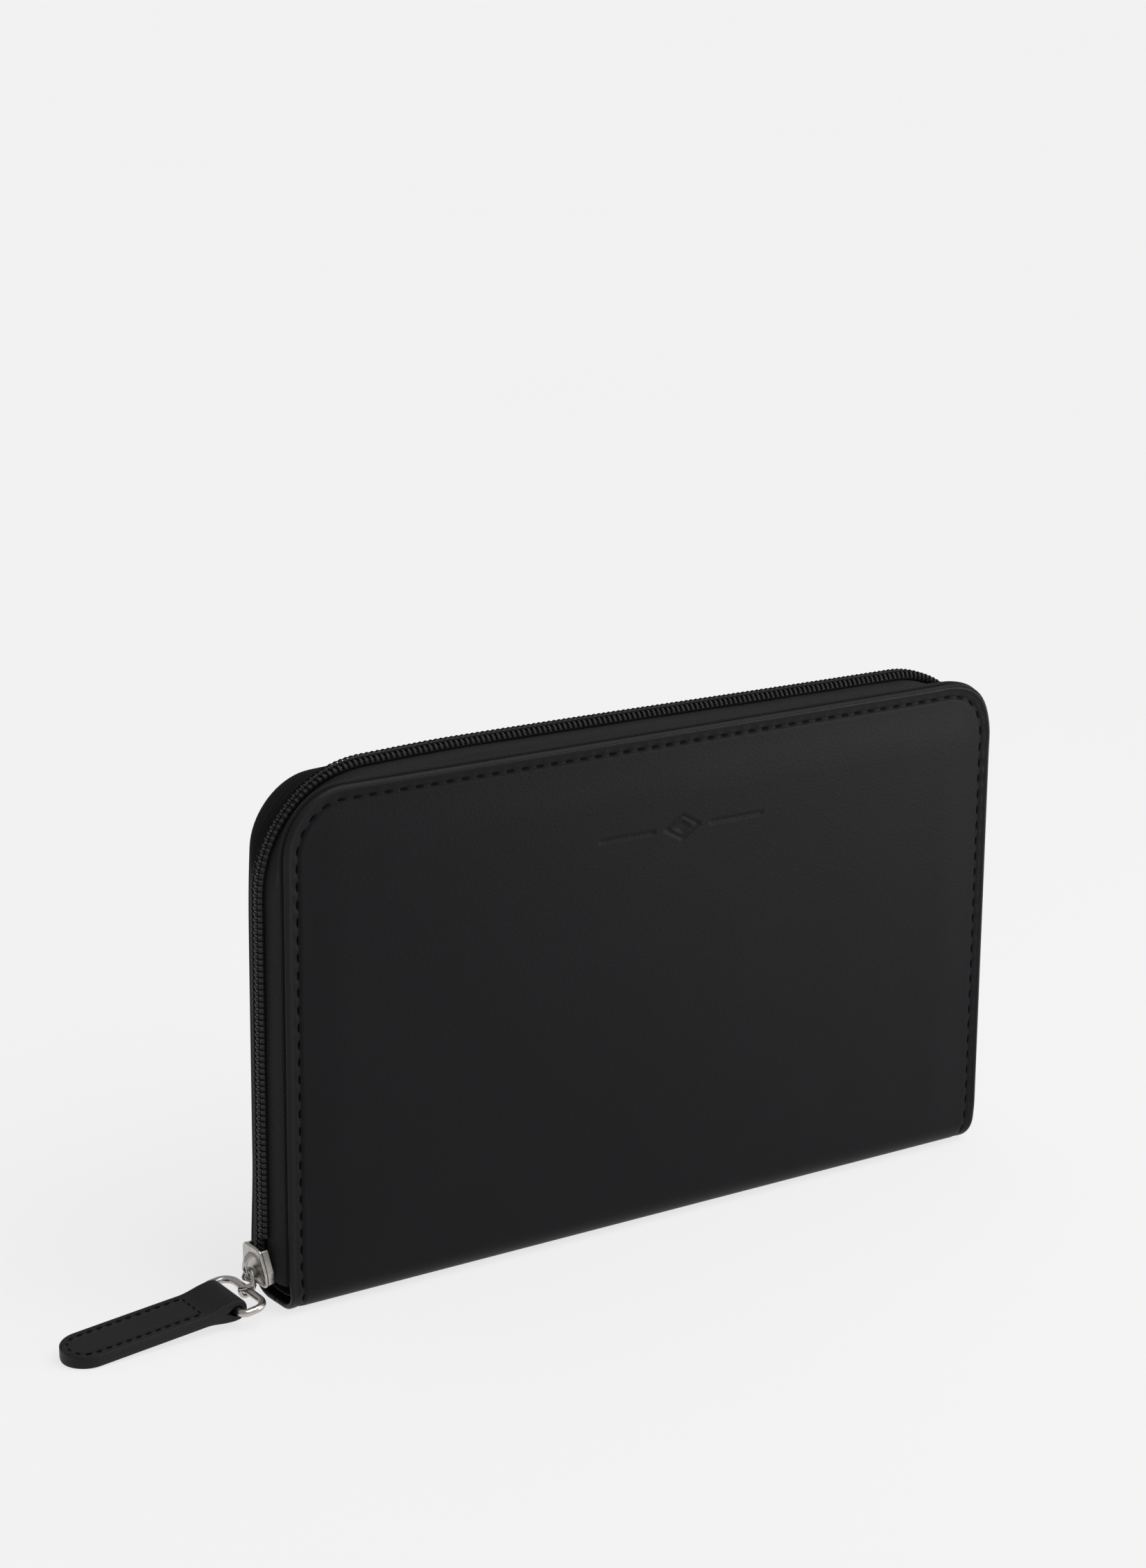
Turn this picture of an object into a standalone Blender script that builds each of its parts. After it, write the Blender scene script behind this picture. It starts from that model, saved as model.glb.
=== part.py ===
"""Travel document organizer: a zip-round leather wallet that stands on its folded spine.

X is the width, Y the thickness with the front cover at -Y, and Z the height above the
surface that the spine rests on. All sizes below are millimetres.
"""

import math

import bmesh
import bpy
from mathutils import Matrix, Vector

MM = 0.001

# The leather case.
WIDTH = 216.5
HEIGHT = 130.0
THICKNESS = 19.5
CORNER_RADIUS = 16.5
FOLD_RADIUS = 6.5
LEATHER = 1.4
GAP = 0.3
CORNER_STEPS = 8

# Layers of one cover, from the leather inwards.
FOAM = 1.0
BOARD = 1.2
LINING = 0.4
BOARD_INSET = 4.6
LINING_INSET = 3.0
LINING_CORNER = 24.0
LAYER_BOTTOM = 9.0

# Pockets.
POCKET_SHEET = 0.4
POCKET_INSET = 5.0
BOARDING_POCKET_TOP = 88.0
PASSPORT_POCKET_TOP = 70.0
PASSPORT_POCKET_WIDTH = 92.0
SLIP_POCKET_TOP = 96.0
CARD_WIDTH = 92.0
CARD_LEAF = 26.0
CARD_PITCH = 20.0
CARD_RISE = 0.75
CARD_FIRST = 14.0
CARD_COLUMN_X = 50.0
CARD_ROWS = 3

# The zip. RIM_SIDE and RIM_TOP say how far one millimetre of the section's bulge reaches.
# It turns the corners on a wider curve than the leather does.
RIM_SIDE = 0.87
RIM_TOP = 1.1
ZIP_CORNER = 27.0
ZIP_CORNER_STEPS = 14
TAPE = 0.5
TAPE_SECTION = ((-4.0, 8.05), (-0.2, 8.05), (0.55, 7.2), (0.9, 5.6), (1.0, 3.2), (1.0, 0.55))
TAPE_BOTTOM = 7.6
BLEND_FAR = 7.55
BLEND_NEAR = 5.6
COIL_LOW = 1.25
COIL_HIGH = 3.0
COIL_EDGE = 0.5
COIL_WIDTH = 2.35
COIL_BEVEL = 0.5
STOP_LENGTH = 2.4
STOP_GAP = 0.3

# Seam threads.
SEAM_INSET = 3.7
THREAD = 0.2
THREAD_SIDES = 6

# The slider, in its own frame: outwards, across the zip, along the zip.
SLIDER_Z = 12.0
SLIDER_TILT = math.radians(8.0)
SLIDER_TRAVEL = 86.0
CHAIN_CENTRE = 1.52
CHANNEL_HALF = 2.2
PLATE = 1.05
SLIDER_LENGTH = 10.0
SLIDER_NARROW = 3.9
SLIDER_WIDE = 5.3
CHANNEL_WIDTH = 3.2
FLANGE_DEPTH = 1.7
POST_WIDTH = 0.44
POST_LENGTH = 3.0
CROWN_HEIGHT = 1.9
CROWN_HALF_LENGTH = 2.7
CROWN_BAR = 0.8
CROWN_WIDTH = 1.6
CROWN_W = -0.2

# The link that hangs on the crown, the ring and the pull tab.
LINK_WIRE = 0.55
LINK_HALF_LENGTH = 3.3
LINK_HALF_WIDTH = 2.15
LINK_LEAN = 1.3
LINK_TWIST_START = 0.15
LINK_TWIST_RUN = 0.5
RING_WIRE = 0.95
RING_LENGTH = 6.9
RING_WIDTH = 17.2
RING_CORNER = 3.4
RING_TAB_CORNER = 1.4
RING_Y = -1.2
PULL_YAW = math.radians(3.2)
PULL_ROLL = math.radians(4.9)
RING_PITCH = math.radians(6.3)
TAB_PITCH = math.radians(4.1)
TAB_LENGTH = 44.0
TAB_WIDTH = 12.8
TAB_THICKNESS = 3.1
TAB_HEAD_RADIUS = 2.75
TAB_EYE_RADIUS = 1.3

COVER_FACE = THICKNESS / 2
RIM_LENGTH = 2 * (HEIGHT - CORNER_RADIUS) + CORNER_RADIUS * math.pi + WIDTH - 2 * CORNER_RADIUS


def clear_scene():
    for obj in list(bpy.data.objects):
        bpy.data.objects.remove(obj, do_unlink=True)


def material(name, colour, roughness, metallic=0.0):
    made = bpy.data.materials.new(name)
    made.use_nodes = True
    shader = made.node_tree.nodes["Principled BSDF"]
    shader.inputs["Base Color"].default_value = (*colour, 1.0)
    shader.inputs["Roughness"].default_value = roughness
    shader.inputs["Metallic"].default_value = metallic
    made.diffuse_color = (*colour, 1.0)
    return made


def finish_mesh(name, bm, finish, smooth=False):
    """Turns a bmesh in millimetres into an object in metres."""
    bmesh.ops.recalc_face_normals(bm, faces=bm.faces)
    bmesh.ops.scale(bm, vec=(MM, MM, MM), verts=bm.verts)
    mesh = bpy.data.meshes.new(name)
    bm.to_mesh(mesh)
    bm.free()
    mesh.materials.append(finish)
    if smooth:
        mesh.shade_smooth()
        mesh.set_sharp_from_angle(angle=math.radians(40))
    obj = bpy.data.objects.new(name, mesh)
    bpy.context.scene.collection.objects.link(obj)
    return obj


def prism(bm, points, step):
    """A closed solid: the flat outline, and the same outline moved by step."""
    low = [bm.verts.new(Vector(point)) for point in points]
    high = [bm.verts.new(Vector(point) + Vector(step)) for point in points]
    bm.faces.new(low)
    bm.faces.new(reversed(high))
    for i, vert in enumerate(low):
        after = (i + 1) % len(low)
        bm.faces.new((vert, high[i], high[after], low[after]))


def tube(bm, rings, closed):
    """Skins a row of vertex loops. A closed tube has no ends, and an open one gets caps."""
    loops = [[bm.verts.new(point) for point in ring] for ring in rings]
    pairs = list(zip(loops, loops[1:]))
    if closed:
        pairs.append((loops[-1], loops[0]))
    for first, second in pairs:
        for i in range(len(first)):
            after = (i + 1) % len(first)
            bm.faces.new((first[i], first[after], second[after], second[i]))
    if not closed:
        bm.faces.new(reversed(loops[0]))
        bm.faces.new(loops[-1])


def wire_rings(path, radius, sides, closed):
    """Round sections across a path, each turned as little as possible from the one before."""
    rings = []
    count = len(path)
    side = None
    for i, point in enumerate(path):
        before = path[i - 1] if i or closed else point
        after = path[(i + 1) % count] if i < count - 1 or closed else point
        along = (after - before).normalized()
        if side is None:
            side = along.orthogonal()
        side = (side - along * side.dot(along)).normalized()
        other = along.cross(side)
        angles = [2 * math.pi * k / sides for k in range(sides)]
        rings.append([point + radius * (math.cos(a) * side + math.sin(a) * other) for a in angles])
    return rings


def arc(centre, radius, start, end, steps):
    """Points (a, b) on an arc, with its ends, between two angles in degrees."""
    angles = [math.radians(start + (end - start) * k / steps) for k in range(steps + 1)]
    return [(centre[0] + radius * math.cos(a), centre[1] + radius * math.sin(a)) for a in angles]


def cover_outline(inset, bottom, radius=None):
    """(x, z) outline of a sheet with round top corners and a straight bottom."""
    radius = radius or CORNER_RADIUS - inset
    left, right, top = -WIDTH / 2 + inset, WIDTH / 2 - inset, HEIGHT - inset
    points = [(left, bottom)]
    points += arc((left + radius, top - radius), radius, 180, 90, CORNER_STEPS)
    points += arc((right - radius, top - radius), radius, 90, 0, CORNER_STEPS)
    points.append((right, bottom))
    return points


def sheet(name, points, outer, thickness, side, finish):
    """A flat sheet. outer is how far its outer face is from the middle plane."""
    bm = bmesh.new()
    prism(bm, [(x, side * outer, z) for x, z in points], (0, -side * thickness, 0))
    return finish_mesh(name, bm, finish)


def corner_point(s, radius, n):
    """(x, z) at s up the left side and over the first corner, n out from the leather's edge."""
    lead = radius - CORNER_RADIUS
    turn_start = HEIGHT - radius
    turn_length = CORNER_RADIUS * math.pi / 2 + 2 * lead
    angle = min(max((s - turn_start) / turn_length, 0.0), 1.0) * math.pi / 2
    x = -WIDTH / 2 + radius * (1 - math.cos(angle)) - n * RIM_SIDE * math.cos(angle)
    z = min(s, turn_start) + radius * math.sin(angle) + n * RIM_TOP * math.sin(angle)
    return x + max(s - turn_start - turn_length, 0.0), z


def rim_point(s, n, y):
    """(x, z) on the zip's band: it keeps to the leather far from the middle plane, and turns
    with the zip's wider curve near it."""
    mirrored = s > RIM_LENGTH / 2
    s = RIM_LENGTH - s if mirrored else s
    share = min(max((BLEND_FAR - y) / (BLEND_FAR - BLEND_NEAR), 0.0), 1.0)
    near, far = corner_point(s, CORNER_RADIUS, n), corner_point(s, ZIP_CORNER, n)
    x, z = (a + (b - a) * share for a, b in zip(near, far))
    return (-x if mirrored else x), z


def rim_band(name, section, side, finish, bottom_left, bottom_right):
    """Sweeps a section of (bulge, distance from the middle plane) round the rim."""
    first = HEIGHT - ZIP_CORNER
    last = RIM_LENGTH / 2 - (WIDTH / 2 - ZIP_CORNER)
    turn = [first + (last - first) * k / ZIP_CORNER_STEPS for k in range(ZIP_CORNER_STEPS + 1)]
    stations = [bottom_left] + turn + [RIM_LENGTH - s for s in reversed(turn)]
    stations.append(RIM_LENGTH - bottom_right)
    bm = bmesh.new()
    rings = []
    for s in stations:
        places = [rim_point(s, n, y) for n, y in section]
        rings.append([Vector((x, side * y, z)) for (x, z), (_, y) in zip(places, section)])
    tube(bm, rings, closed=False)
    return finish_mesh(name, bm, finish, smooth=True)


def tape_outline():
    """The tape's section: its outer face, and back along its inner face."""
    (edge, face), (fold, _) = TAPE_SECTION[:2]
    inner = [(edge, face - TAPE), (fold - TAPE, face - TAPE)]
    inner += [(n - TAPE, y) for n, y in TAPE_SECTION[2:]]
    return list(TAPE_SECTION) + inner[::-1]


def coil_outline():
    near, far = COIL_EDGE, COIL_EDGE + COIL_WIDTH
    cut = COIL_BEVEL
    return [(COIL_LOW, near), (COIL_LOW, far), (COIL_HIGH - cut, far),
            (COIL_HIGH, far - cut), (COIL_HIGH, near + cut), (COIL_HIGH - cut, near)]


def box(name, low, high, finish):
    bm = bmesh.new()
    x0, y0, z0 = low
    x1, y1, z1 = high
    prism(bm, [(x0, y0, z0), (x1, y0, z0), (x1, y1, z0), (x0, y1, z0)], (0, 0, z1 - z0))
    return finish_mesh(name, bm, finish)


def coil_stop(name, side, hand, z, finish):
    """A small moulded stop at one end of a coil. hand is -1 at the left and 1 at the right."""
    inner = hand * (WIDTH / 2 + RIM_SIDE * COIL_LOW)
    outer = hand * (WIDTH / 2 + RIM_SIDE * (COIL_HIGH + GAP))
    near, far = side * COIL_EDGE, side * (COIL_EDGE + COIL_WIDTH)
    low = (min(inner, outer), min(near, far), z)
    high = (max(inner, outer), max(near, far), z + STOP_LENGTH)
    return box(name, low, high, finish)


def edge_seam(name, side, finish):
    """The thread line along the cover's left side, top and right side."""
    bm = bmesh.new()
    y = side * (COVER_FACE + THREAD + 0.1)
    path = [Vector((x, y, z)) for x, z in cover_outline(SEAM_INSET, LAYER_BOTTOM)]
    tube(bm, wire_rings(path, THREAD, THREAD_SIDES, False), closed=False)
    return finish_mesh(name, bm, finish, smooth=True)


def fold_strip(name, depth, thickness, finish):
    """A strip bent round the spine, depth inside the leather's outer face."""
    middle = COVER_FACE - FOLD_RADIUS
    outer, inner = FOLD_RADIUS - depth, FOLD_RADIUS - depth - thickness
    points = arc((-middle, FOLD_RADIUS), outer, 180, 270, CORNER_STEPS)
    points += arc((middle, FOLD_RADIUS), outer, 270, 360, CORNER_STEPS)
    points += arc((middle, FOLD_RADIUS), inner, 360, 270, CORNER_STEPS)
    points += arc((-middle, FOLD_RADIUS), inner, 270, 180, CORNER_STEPS)
    bm = bmesh.new()
    left = -WIDTH / 2 + (0 if depth == 0 else LINING_INSET)
    prism(bm, [(left, y, z) for y, z in points], (-2 * left, 0, 0))
    return finish_mesh(name, bm, finish, smooth=True)


def make_spine(leather, fabric, board):
    fold_strip("spine_leather", 0.0, LEATHER, leather)
    strip = LEATHER + GAP
    half = COVER_FACE - FOLD_RADIUS
    edge = WIDTH / 2 - BOARD_INSET
    box("spine_reinforcement", (-edge, -half, strip), (edge, half, strip + 0.6), board)
    fold_strip("spine_lining", strip + 0.6 + GAP, LINING, fabric)


def make_cover(label, side, leather, foam, board, fabric):
    depth = COVER_FACE
    outline = cover_outline(0, FOLD_RADIUS + GAP)
    sheet(f"{label}_cover_leather", outline, depth, LEATHER, side, leather)
    depth -= LEATHER + GAP
    outline = cover_outline(BOARD_INSET, LAYER_BOTTOM)
    sheet(f"{label}_foam_padding", outline, depth, FOAM, side, foam)
    depth -= FOAM + GAP
    sheet(f"{label}_stiffener_board", outline, depth, BOARD, side, board)
    depth -= BOARD + GAP
    outline = cover_outline(LINING_INSET, LAYER_BOTTOM, LINING_CORNER)
    sheet(f"{label}_lining", outline, depth, LINING, side, fabric)
    return depth - LINING - GAP


def notched_outline(left, right, bottom, top, notch):
    """A pocket sheet with a half-round thumb notch in its top edge."""
    middle = (left + right) / 2
    points = [(left, bottom), (left, top)]
    points += arc((middle, top), notch, 180, 360, 2 * CORNER_STEPS)
    points += [(right, top), (right, bottom)]
    return points


def make_front_pockets(depth, leather):
    edge = WIDTH / 2 - POCKET_INSET
    outline = notched_outline(-edge, edge, LAYER_BOTTOM + 1, BOARDING_POCKET_TOP, 11.0)
    sheet("boarding_pass_pocket", outline, depth, POCKET_SHEET, -1, leather)
    depth -= POCKET_SHEET + GAP
    right = -edge + PASSPORT_POCKET_WIDTH
    outline = notched_outline(-edge, right, LAYER_BOTTOM + 1, PASSPORT_POCKET_TOP, 9.0)
    sheet("passport_pocket", outline, depth, POCKET_SHEET, -1, leather)


def make_back_pockets(depth, leather):
    edge = WIDTH / 2 - POCKET_INSET
    outline = notched_outline(-edge, edge, LAYER_BOTTOM + 1, SLIP_POCKET_TOP, 11.0)
    sheet("slip_pocket", outline, depth, POCKET_SHEET, 1, leather)
    depth -= POCKET_SHEET + GAP
    for label, centre in (("left", -CARD_COLUMN_X), ("right", CARD_COLUMN_X)):
        for row in range(CARD_ROWS):
            card_leaf(f"card_slot_{label}_{row + 1}", centre, row, depth, leather)


def card_leaf(name, centre, row, depth, finish):
    """One card slot leaf. Its top edge leans over the leaf above it, like a shingle."""
    bottom = CARD_FIRST + row * CARD_PITCH
    lean = CARD_RISE * CARD_LEAF / CARD_PITCH
    left = centre - CARD_WIDTH / 2
    corners = [(depth, bottom), (depth - lean, bottom + CARD_LEAF),
               (depth - lean - POCKET_SHEET, bottom + CARD_LEAF), (depth - POCKET_SHEET, bottom)]
    bm = bmesh.new()
    prism(bm, [(left, y, z) for y, z in corners], (CARD_WIDTH, 0, 0))
    finish_mesh(name, bm, finish)


def make_zip(label, side, coil_start, tape_fabric, coil_plastic):
    bottom = TAPE_BOTTOM
    rim_band(f"{label}_zip_tape", tape_outline(), side, tape_fabric, bottom, bottom)
    coil_end = bottom + STOP_LENGTH + STOP_GAP
    rim_band(f"{label}_zip_coil", coil_outline(), side, coil_plastic, coil_start, coil_end)
    coil_stop(f"{label}_zip_end_stop", side, 1, bottom, coil_plastic)


def pivot(name, place, rotation=None):
    """An empty on a joint's axis. The pieces that move there are parented to it."""
    made = bpy.data.objects.new(name, None)
    made.empty_display_size = 5 * MM
    bpy.context.scene.collection.objects.link(made)
    made.matrix_world = Matrix.Translation(Vector(place) * MM) @ (rotation or Matrix())
    return made


def helper(obj):
    obj.hide_render = True
    obj.display_type = "WIRE"
    return obj


def boolean(obj, other, operation):
    modifier = obj.modifiers.new(operation.title(), "BOOLEAN")
    modifier.operation = operation
    modifier.solver = "EXACT"
    modifier.object = other


def slab(name, half_low, half_high, along, out, finish):
    """A block in the slider's frame whose width changes along the zip. out is (from, to)."""
    low, high = along
    corners = [(-out[0], -half_low, low), (-out[0], half_low, low),
               (-out[0], half_high, high), (-out[0], -half_high, high)]
    bm = bmesh.new()
    prism(bm, corners, (out[0] - out[1], 0, 0))
    return finish_mesh(name, bm, finish)


def crown(name, finish):
    """The arch over the outer plate, which the link hangs on."""
    base = CHANNEL_HALF + PLATE - 0.3
    inner = CROWN_HEIGHT + 0.3
    steps = 2 * CORNER_STEPS
    points = []
    for k in range(steps + 1):
        a = math.pi * k / steps
        reach, length = inner + CROWN_BAR, CROWN_HALF_LENGTH + CROWN_BAR
        points.append((-base - reach * math.sin(a), length * math.cos(a) + CROWN_W))
    for k in range(steps, -1, -1):
        a = math.pi * k / steps
        points.append((-base - inner * math.sin(a), CROWN_HALF_LENGTH * math.cos(a) + CROWN_W))
    bm = bmesh.new()
    prism(bm, [(x, -CROWN_WIDTH / 2, z) for x, z in points], (0, CROWN_WIDTH, 0))
    return finish_mesh(name, bm, finish)


def make_slider(metal):
    """Two plates with flanges, the post between the coils, and the crown."""
    half = SLIDER_LENGTH / 2
    outer = CHANNEL_HALF + PLATE
    body = slab("zip_slider", SLIDER_WIDE, SLIDER_NARROW, (-half, half), (-outer, outer), metal)
    bevel = body.modifiers.new("Bevel", "BEVEL")
    bevel.width = 0.7 * MM
    bevel.segments = 2
    bevel.limit_method = "ANGLE"
    run = half + 1
    channel = slab("slider_channel_cutter", CHANNEL_WIDTH + 0.6, CHANNEL_WIDTH, (-run, run),
                   (-CHANNEL_HALF, CHANNEL_HALF), metal)
    slot = slab("slider_slot_cutter", 9, 9, (-run, run),
                (-CHANNEL_HALF, CHANNEL_HALF - FLANGE_DEPTH), metal)
    post = slab("slider_post_piece", POST_WIDTH / 2, POST_WIDTH / 2, (-half + 0.6, -half + POST_LENGTH),
                (-outer + 0.3, outer - 0.3), metal)
    arch = crown("slider_crown_piece", metal)
    for cutter in (channel, slot):
        boolean(body, helper(cutter), "DIFFERENCE")
    for piece in (post, arch):
        boolean(body, helper(piece), "UNION")
    return [body, channel, slot, post, arch]


def smoothstep(value):
    value = min(max(value, 0.0), 1.0)
    return value * value * (3 - 2 * value)


def link_path(steps=28):
    """A loop that hangs from its top, and turns a quarter turn towards its bottom."""
    points = []
    for k in range(steps):
        t = 2 * math.pi * k / steps
        down = (1 - math.cos(t)) / 2
        turn = math.pi / 2 * smoothstep((LINK_TWIST_START - math.cos(t)) / LINK_TWIST_RUN)
        side = LINK_HALF_WIDTH * math.sin(t)
        x = -LINK_LEAN * down + side * math.sin(turn)
        points.append(Vector((x, side * math.cos(turn), -2 * LINK_HALF_LENGTH * down)))
    return points


def wire_loop(name, path, radius, sides, finish):
    bm = bmesh.new()
    tube(bm, wire_rings(path, radius, sides, True), closed=True)
    return finish_mesh(name, bm, finish, smooth=True)


def ring_path():
    """A rounded rectangle from the link at the origin towards -X, tighter where the tab folds on."""
    reach, half = RING_LENGTH, RING_WIDTH / 2
    points = []
    for start, corner, x, side in ((0, RING_CORNER, 0, 1), (90, RING_TAB_CORNER, -reach, 1),
                                   (180, RING_TAB_CORNER, -reach, -1), (270, RING_CORNER, 0, -1)):
        centre = (x + corner if x else -corner, side * (half - corner))
        points += arc(centre, corner, start, start + 90, 5)
    return [Vector((x, y, 0)) for x, y in points]


def tab_outline(length, half, start):
    """(x, y) plan of the tab: square at its head, round at its tip."""
    points = [(start, -half), (start, half)]
    points += arc((-length + half, 0), half, 90, 270, 2 * CORNER_STEPS)
    return points


def cylinder_across(name, radius, half, finish, steps=16):
    bm = bmesh.new()
    points = arc((0, 0), radius, 0, 360, steps)[:-1]
    prism(bm, [(x, -half, z) for x, z in points], (0, 2 * half, 0))
    return finish_mesh(name, bm, finish, smooth=True)


def make_tab(leather, thread):
    """The folded strap: a round head with the eye for the ring, and a flat sewn tongue."""
    half = TAB_WIDTH / 2
    bm = bmesh.new()
    plan = tab_outline(TAB_LENGTH, half, -0.5)
    prism(bm, [(x, y, -TAB_THICKNESS / 2) for x, y in plan], (0, 0, TAB_THICKNESS))
    tab = finish_mesh("pull_tab_leather", bm, leather)
    head = helper(cylinder_across("tab_head_piece", TAB_HEAD_RADIUS, half, leather))
    eye = helper(cylinder_across("tab_eye_cutter", TAB_EYE_RADIUS, half + 1, leather))
    boolean(tab, head, "UNION")
    boolean(tab, eye, "DIFFERENCE")
    bm = bmesh.new()
    z = TAB_THICKNESS / 2 + THREAD + 0.1
    outline = tab_outline(TAB_LENGTH - 1.8, half - 1.8, -6.0)
    path = [Vector((x, y, z)) for x, y in outline[1:] + outline[:1]]
    tube(bm, wire_rings(path, THREAD, THREAD_SIDES, False), closed=False)
    seam = finish_mesh("pull_tab_seam", bm, thread, smooth=True)
    return [tab, head, eye, seam]


def parent_all(pieces, empty):
    for piece in pieces:
        piece.parent = empty


def make_pull(metal, leather, thread):
    """Slider, link, ring and tab, each on an empty that lies on its joint's axis."""
    chain_x = -(WIDTH / 2 + CHAIN_CENTRE)
    tilt = Matrix.Rotation(-SLIDER_TILT, 4, "Y")
    slider = pivot("slider_place", (chain_x, 0, SLIDER_Z), tilt)
    parent_all(make_slider(metal), slider)
    hook = Vector((-(CHANNEL_HALF + PLATE + CROWN_HEIGHT / 2), 0, CROWN_W - 0.6))
    link_place = Vector((chain_x, 0, SLIDER_Z)) + tilt @ hook
    link = pivot("link_pivot", link_place)
    parent_all([wire_loop("puller_link", link_path(), LINK_WIRE, 8, metal)], link)
    rise = 2 * LINK_HALF_LENGTH - LINK_WIRE - RING_WIRE - GAP
    ring_place = link_place + Vector((-LINK_LEAN, RING_Y, -rise))
    turn = Matrix.Rotation(PULL_YAW, 4, "Z") @ Matrix.Rotation(PULL_ROLL, 4, "X")
    ring_turn = turn @ Matrix.Rotation(-RING_PITCH, 4, "Y")
    ring = pivot("ring_pivot", ring_place, ring_turn)
    parent_all([wire_loop("pull_ring", ring_path(), RING_WIRE, 10, metal)], ring)
    tab_place = ring_place + ring_turn @ Vector((-RING_LENGTH, 0, 0))
    tab_turn = turn @ Matrix.Rotation(-TAB_PITCH, 4, "Y")
    tab = pivot("tab_pivot", tab_place, tab_turn)
    parent_all(make_tab(leather, thread), tab)


def main():
    clear_scene()
    leather = material("black_leather", (0.016, 0.015, 0.016), 0.5)
    fabric = material("black_lining", (0.02, 0.02, 0.022), 0.85)
    board = material("grey_board", (0.12, 0.11, 0.1), 0.9)
    foam = material("grey_foam", (0.2, 0.2, 0.2), 0.95)
    tape_fabric = material("woven_tape", (0.022, 0.022, 0.022), 0.9)
    coil_plastic = material("nylon_coil", (0.02, 0.02, 0.02), 0.45)
    metal = material("nickel", (0.62, 0.6, 0.58), 0.25, 1.0)
    thread = material("black_thread", (0.008, 0.008, 0.008), 0.7)
    make_spine(leather, fabric, board)
    for label, side in (("front", -1), ("back", 1)):
        depth = make_cover(label, side, leather, foam, board, fabric)
        make_pockets = make_front_pockets if side < 0 else make_back_pockets
        make_pockets(depth, leather)
        edge_seam(f"{label}_edge_seam", side, thread)
    slider_top = SLIDER_Z + SLIDER_LENGTH / 2 + CROWN_BAR
    make_zip("front", -1, slider_top + 2, tape_fabric, coil_plastic)
    make_zip("back", 1, TAPE_BOTTOM, tape_fabric, coil_plastic)
    make_pull(metal, leather, thread)


main()
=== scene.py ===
"""The looks of the travel document organizer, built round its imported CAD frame.

Sizes are millimetres until make_piece turns them into metres. A cover is drawn on its
flat cut: u runs across, v runs from the middle of the spine round the fold and up, d is
the distance in from the cut's edge, and h is the height out of the nominal outer face.
Along the rim, s runs from the floor up the left side, over the top and down the right.
"""

import math

import bmesh
import bpy
import numpy as np
from mathutils import Matrix, Vector


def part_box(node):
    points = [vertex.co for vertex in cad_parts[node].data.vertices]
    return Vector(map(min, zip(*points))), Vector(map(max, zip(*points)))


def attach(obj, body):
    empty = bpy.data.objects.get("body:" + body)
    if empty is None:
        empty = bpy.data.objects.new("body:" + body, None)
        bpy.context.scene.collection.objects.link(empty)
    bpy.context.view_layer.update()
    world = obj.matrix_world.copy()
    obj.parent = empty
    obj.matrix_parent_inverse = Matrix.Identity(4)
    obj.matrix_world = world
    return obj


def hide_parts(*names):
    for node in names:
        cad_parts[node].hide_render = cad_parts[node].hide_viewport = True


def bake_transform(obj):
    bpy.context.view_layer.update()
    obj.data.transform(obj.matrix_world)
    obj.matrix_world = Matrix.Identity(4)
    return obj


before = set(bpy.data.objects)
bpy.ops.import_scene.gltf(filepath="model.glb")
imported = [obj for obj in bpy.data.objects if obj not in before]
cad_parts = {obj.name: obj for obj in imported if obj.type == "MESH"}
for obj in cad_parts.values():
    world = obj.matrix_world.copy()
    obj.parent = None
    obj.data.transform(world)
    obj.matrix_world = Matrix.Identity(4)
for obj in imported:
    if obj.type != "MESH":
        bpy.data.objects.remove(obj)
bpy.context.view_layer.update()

MM = 0.001

# The case, as in the CAD.
WIDTH = 216.5
HEIGHT = 130.0
COVER_FACE = 9.75
CORNER = 16.5
FOLD = 6.5
LEATHER = 1.4
FLAT_HALF = COVER_FACE - FOLD
FOLD_ARC = FOLD * math.pi / 2
CUT_HEIGHT = FLAT_HALF + FOLD_ARC + HEIGHT - FOLD
HALF = WIDTH / 2

# The cover's relief.
EDGE_ROUND = 0.7
SEAM_INSET = 3.45
SEAM_DEPTH = 0.38
PILLOW = 0.55
PILLOW_RUN = 13.0
STITCH_PITCH = 4.3
STITCH_LENGTH = 2.9
MARK_U = 6.0
MARK_V = CUT_HEIGHT - (HEIGHT - 105.0)
MARK_HALF = (27.0, 4.0)

# The covers' set.
BACK_PINCH = 0.34
BACK_PINCH_RUN = 24.0
SIDE_PINCH = 0.15
SIDE_PINCH_RISE = 30.0
FRONT_CORNER_PUSH = 1.4
FRONT_PUSH_INSET = 0.3 * CORNER
FRONT_PUSH_RUN = 8.0
FRONT_PUSH_WAY = (0.6, 0.8)
FRONT_PUSH_DEPTH = 4.0
SPINE_TRIM = 1.4

# The zip.
RIM_SIDE = 0.87
RIM_TOP = 1.1
ZIP_CORNER = 27.0
BLEND = (7.55, 5.6)
TOP_BULGE = 0.75
BULGE_RISE = (142, 34)
BULGE_FALL = (180, 130)
TAPE = 0.5
TAPE_SECTION = ((-4.0, 8.05), (-0.2, 8.05), (0.55, 7.2), (0.9, 5.6), (1.0, 3.2), (1.0, 0.55))
TAPE_BOTTOM = 7.6
TOOTH_PITCH = 1.5
TOOTH_WIRE = 0.35
TOOTH_N = (1.9, 2.9)
TOOTH_Y = (0.1, 1.55)
COIL_START = {-1: 18.2, 1: 7.9}
COIL_END_GAP = 10.4
CORD_N = (1.85, 0.85)
CORD_Y = (0.9, 0.85)
SEWING_N = 3.02
SEWING_LIFT = 0.22
SEWING_Y = 1.3
SEWING_THREAD = (0.14, 0.17)

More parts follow.
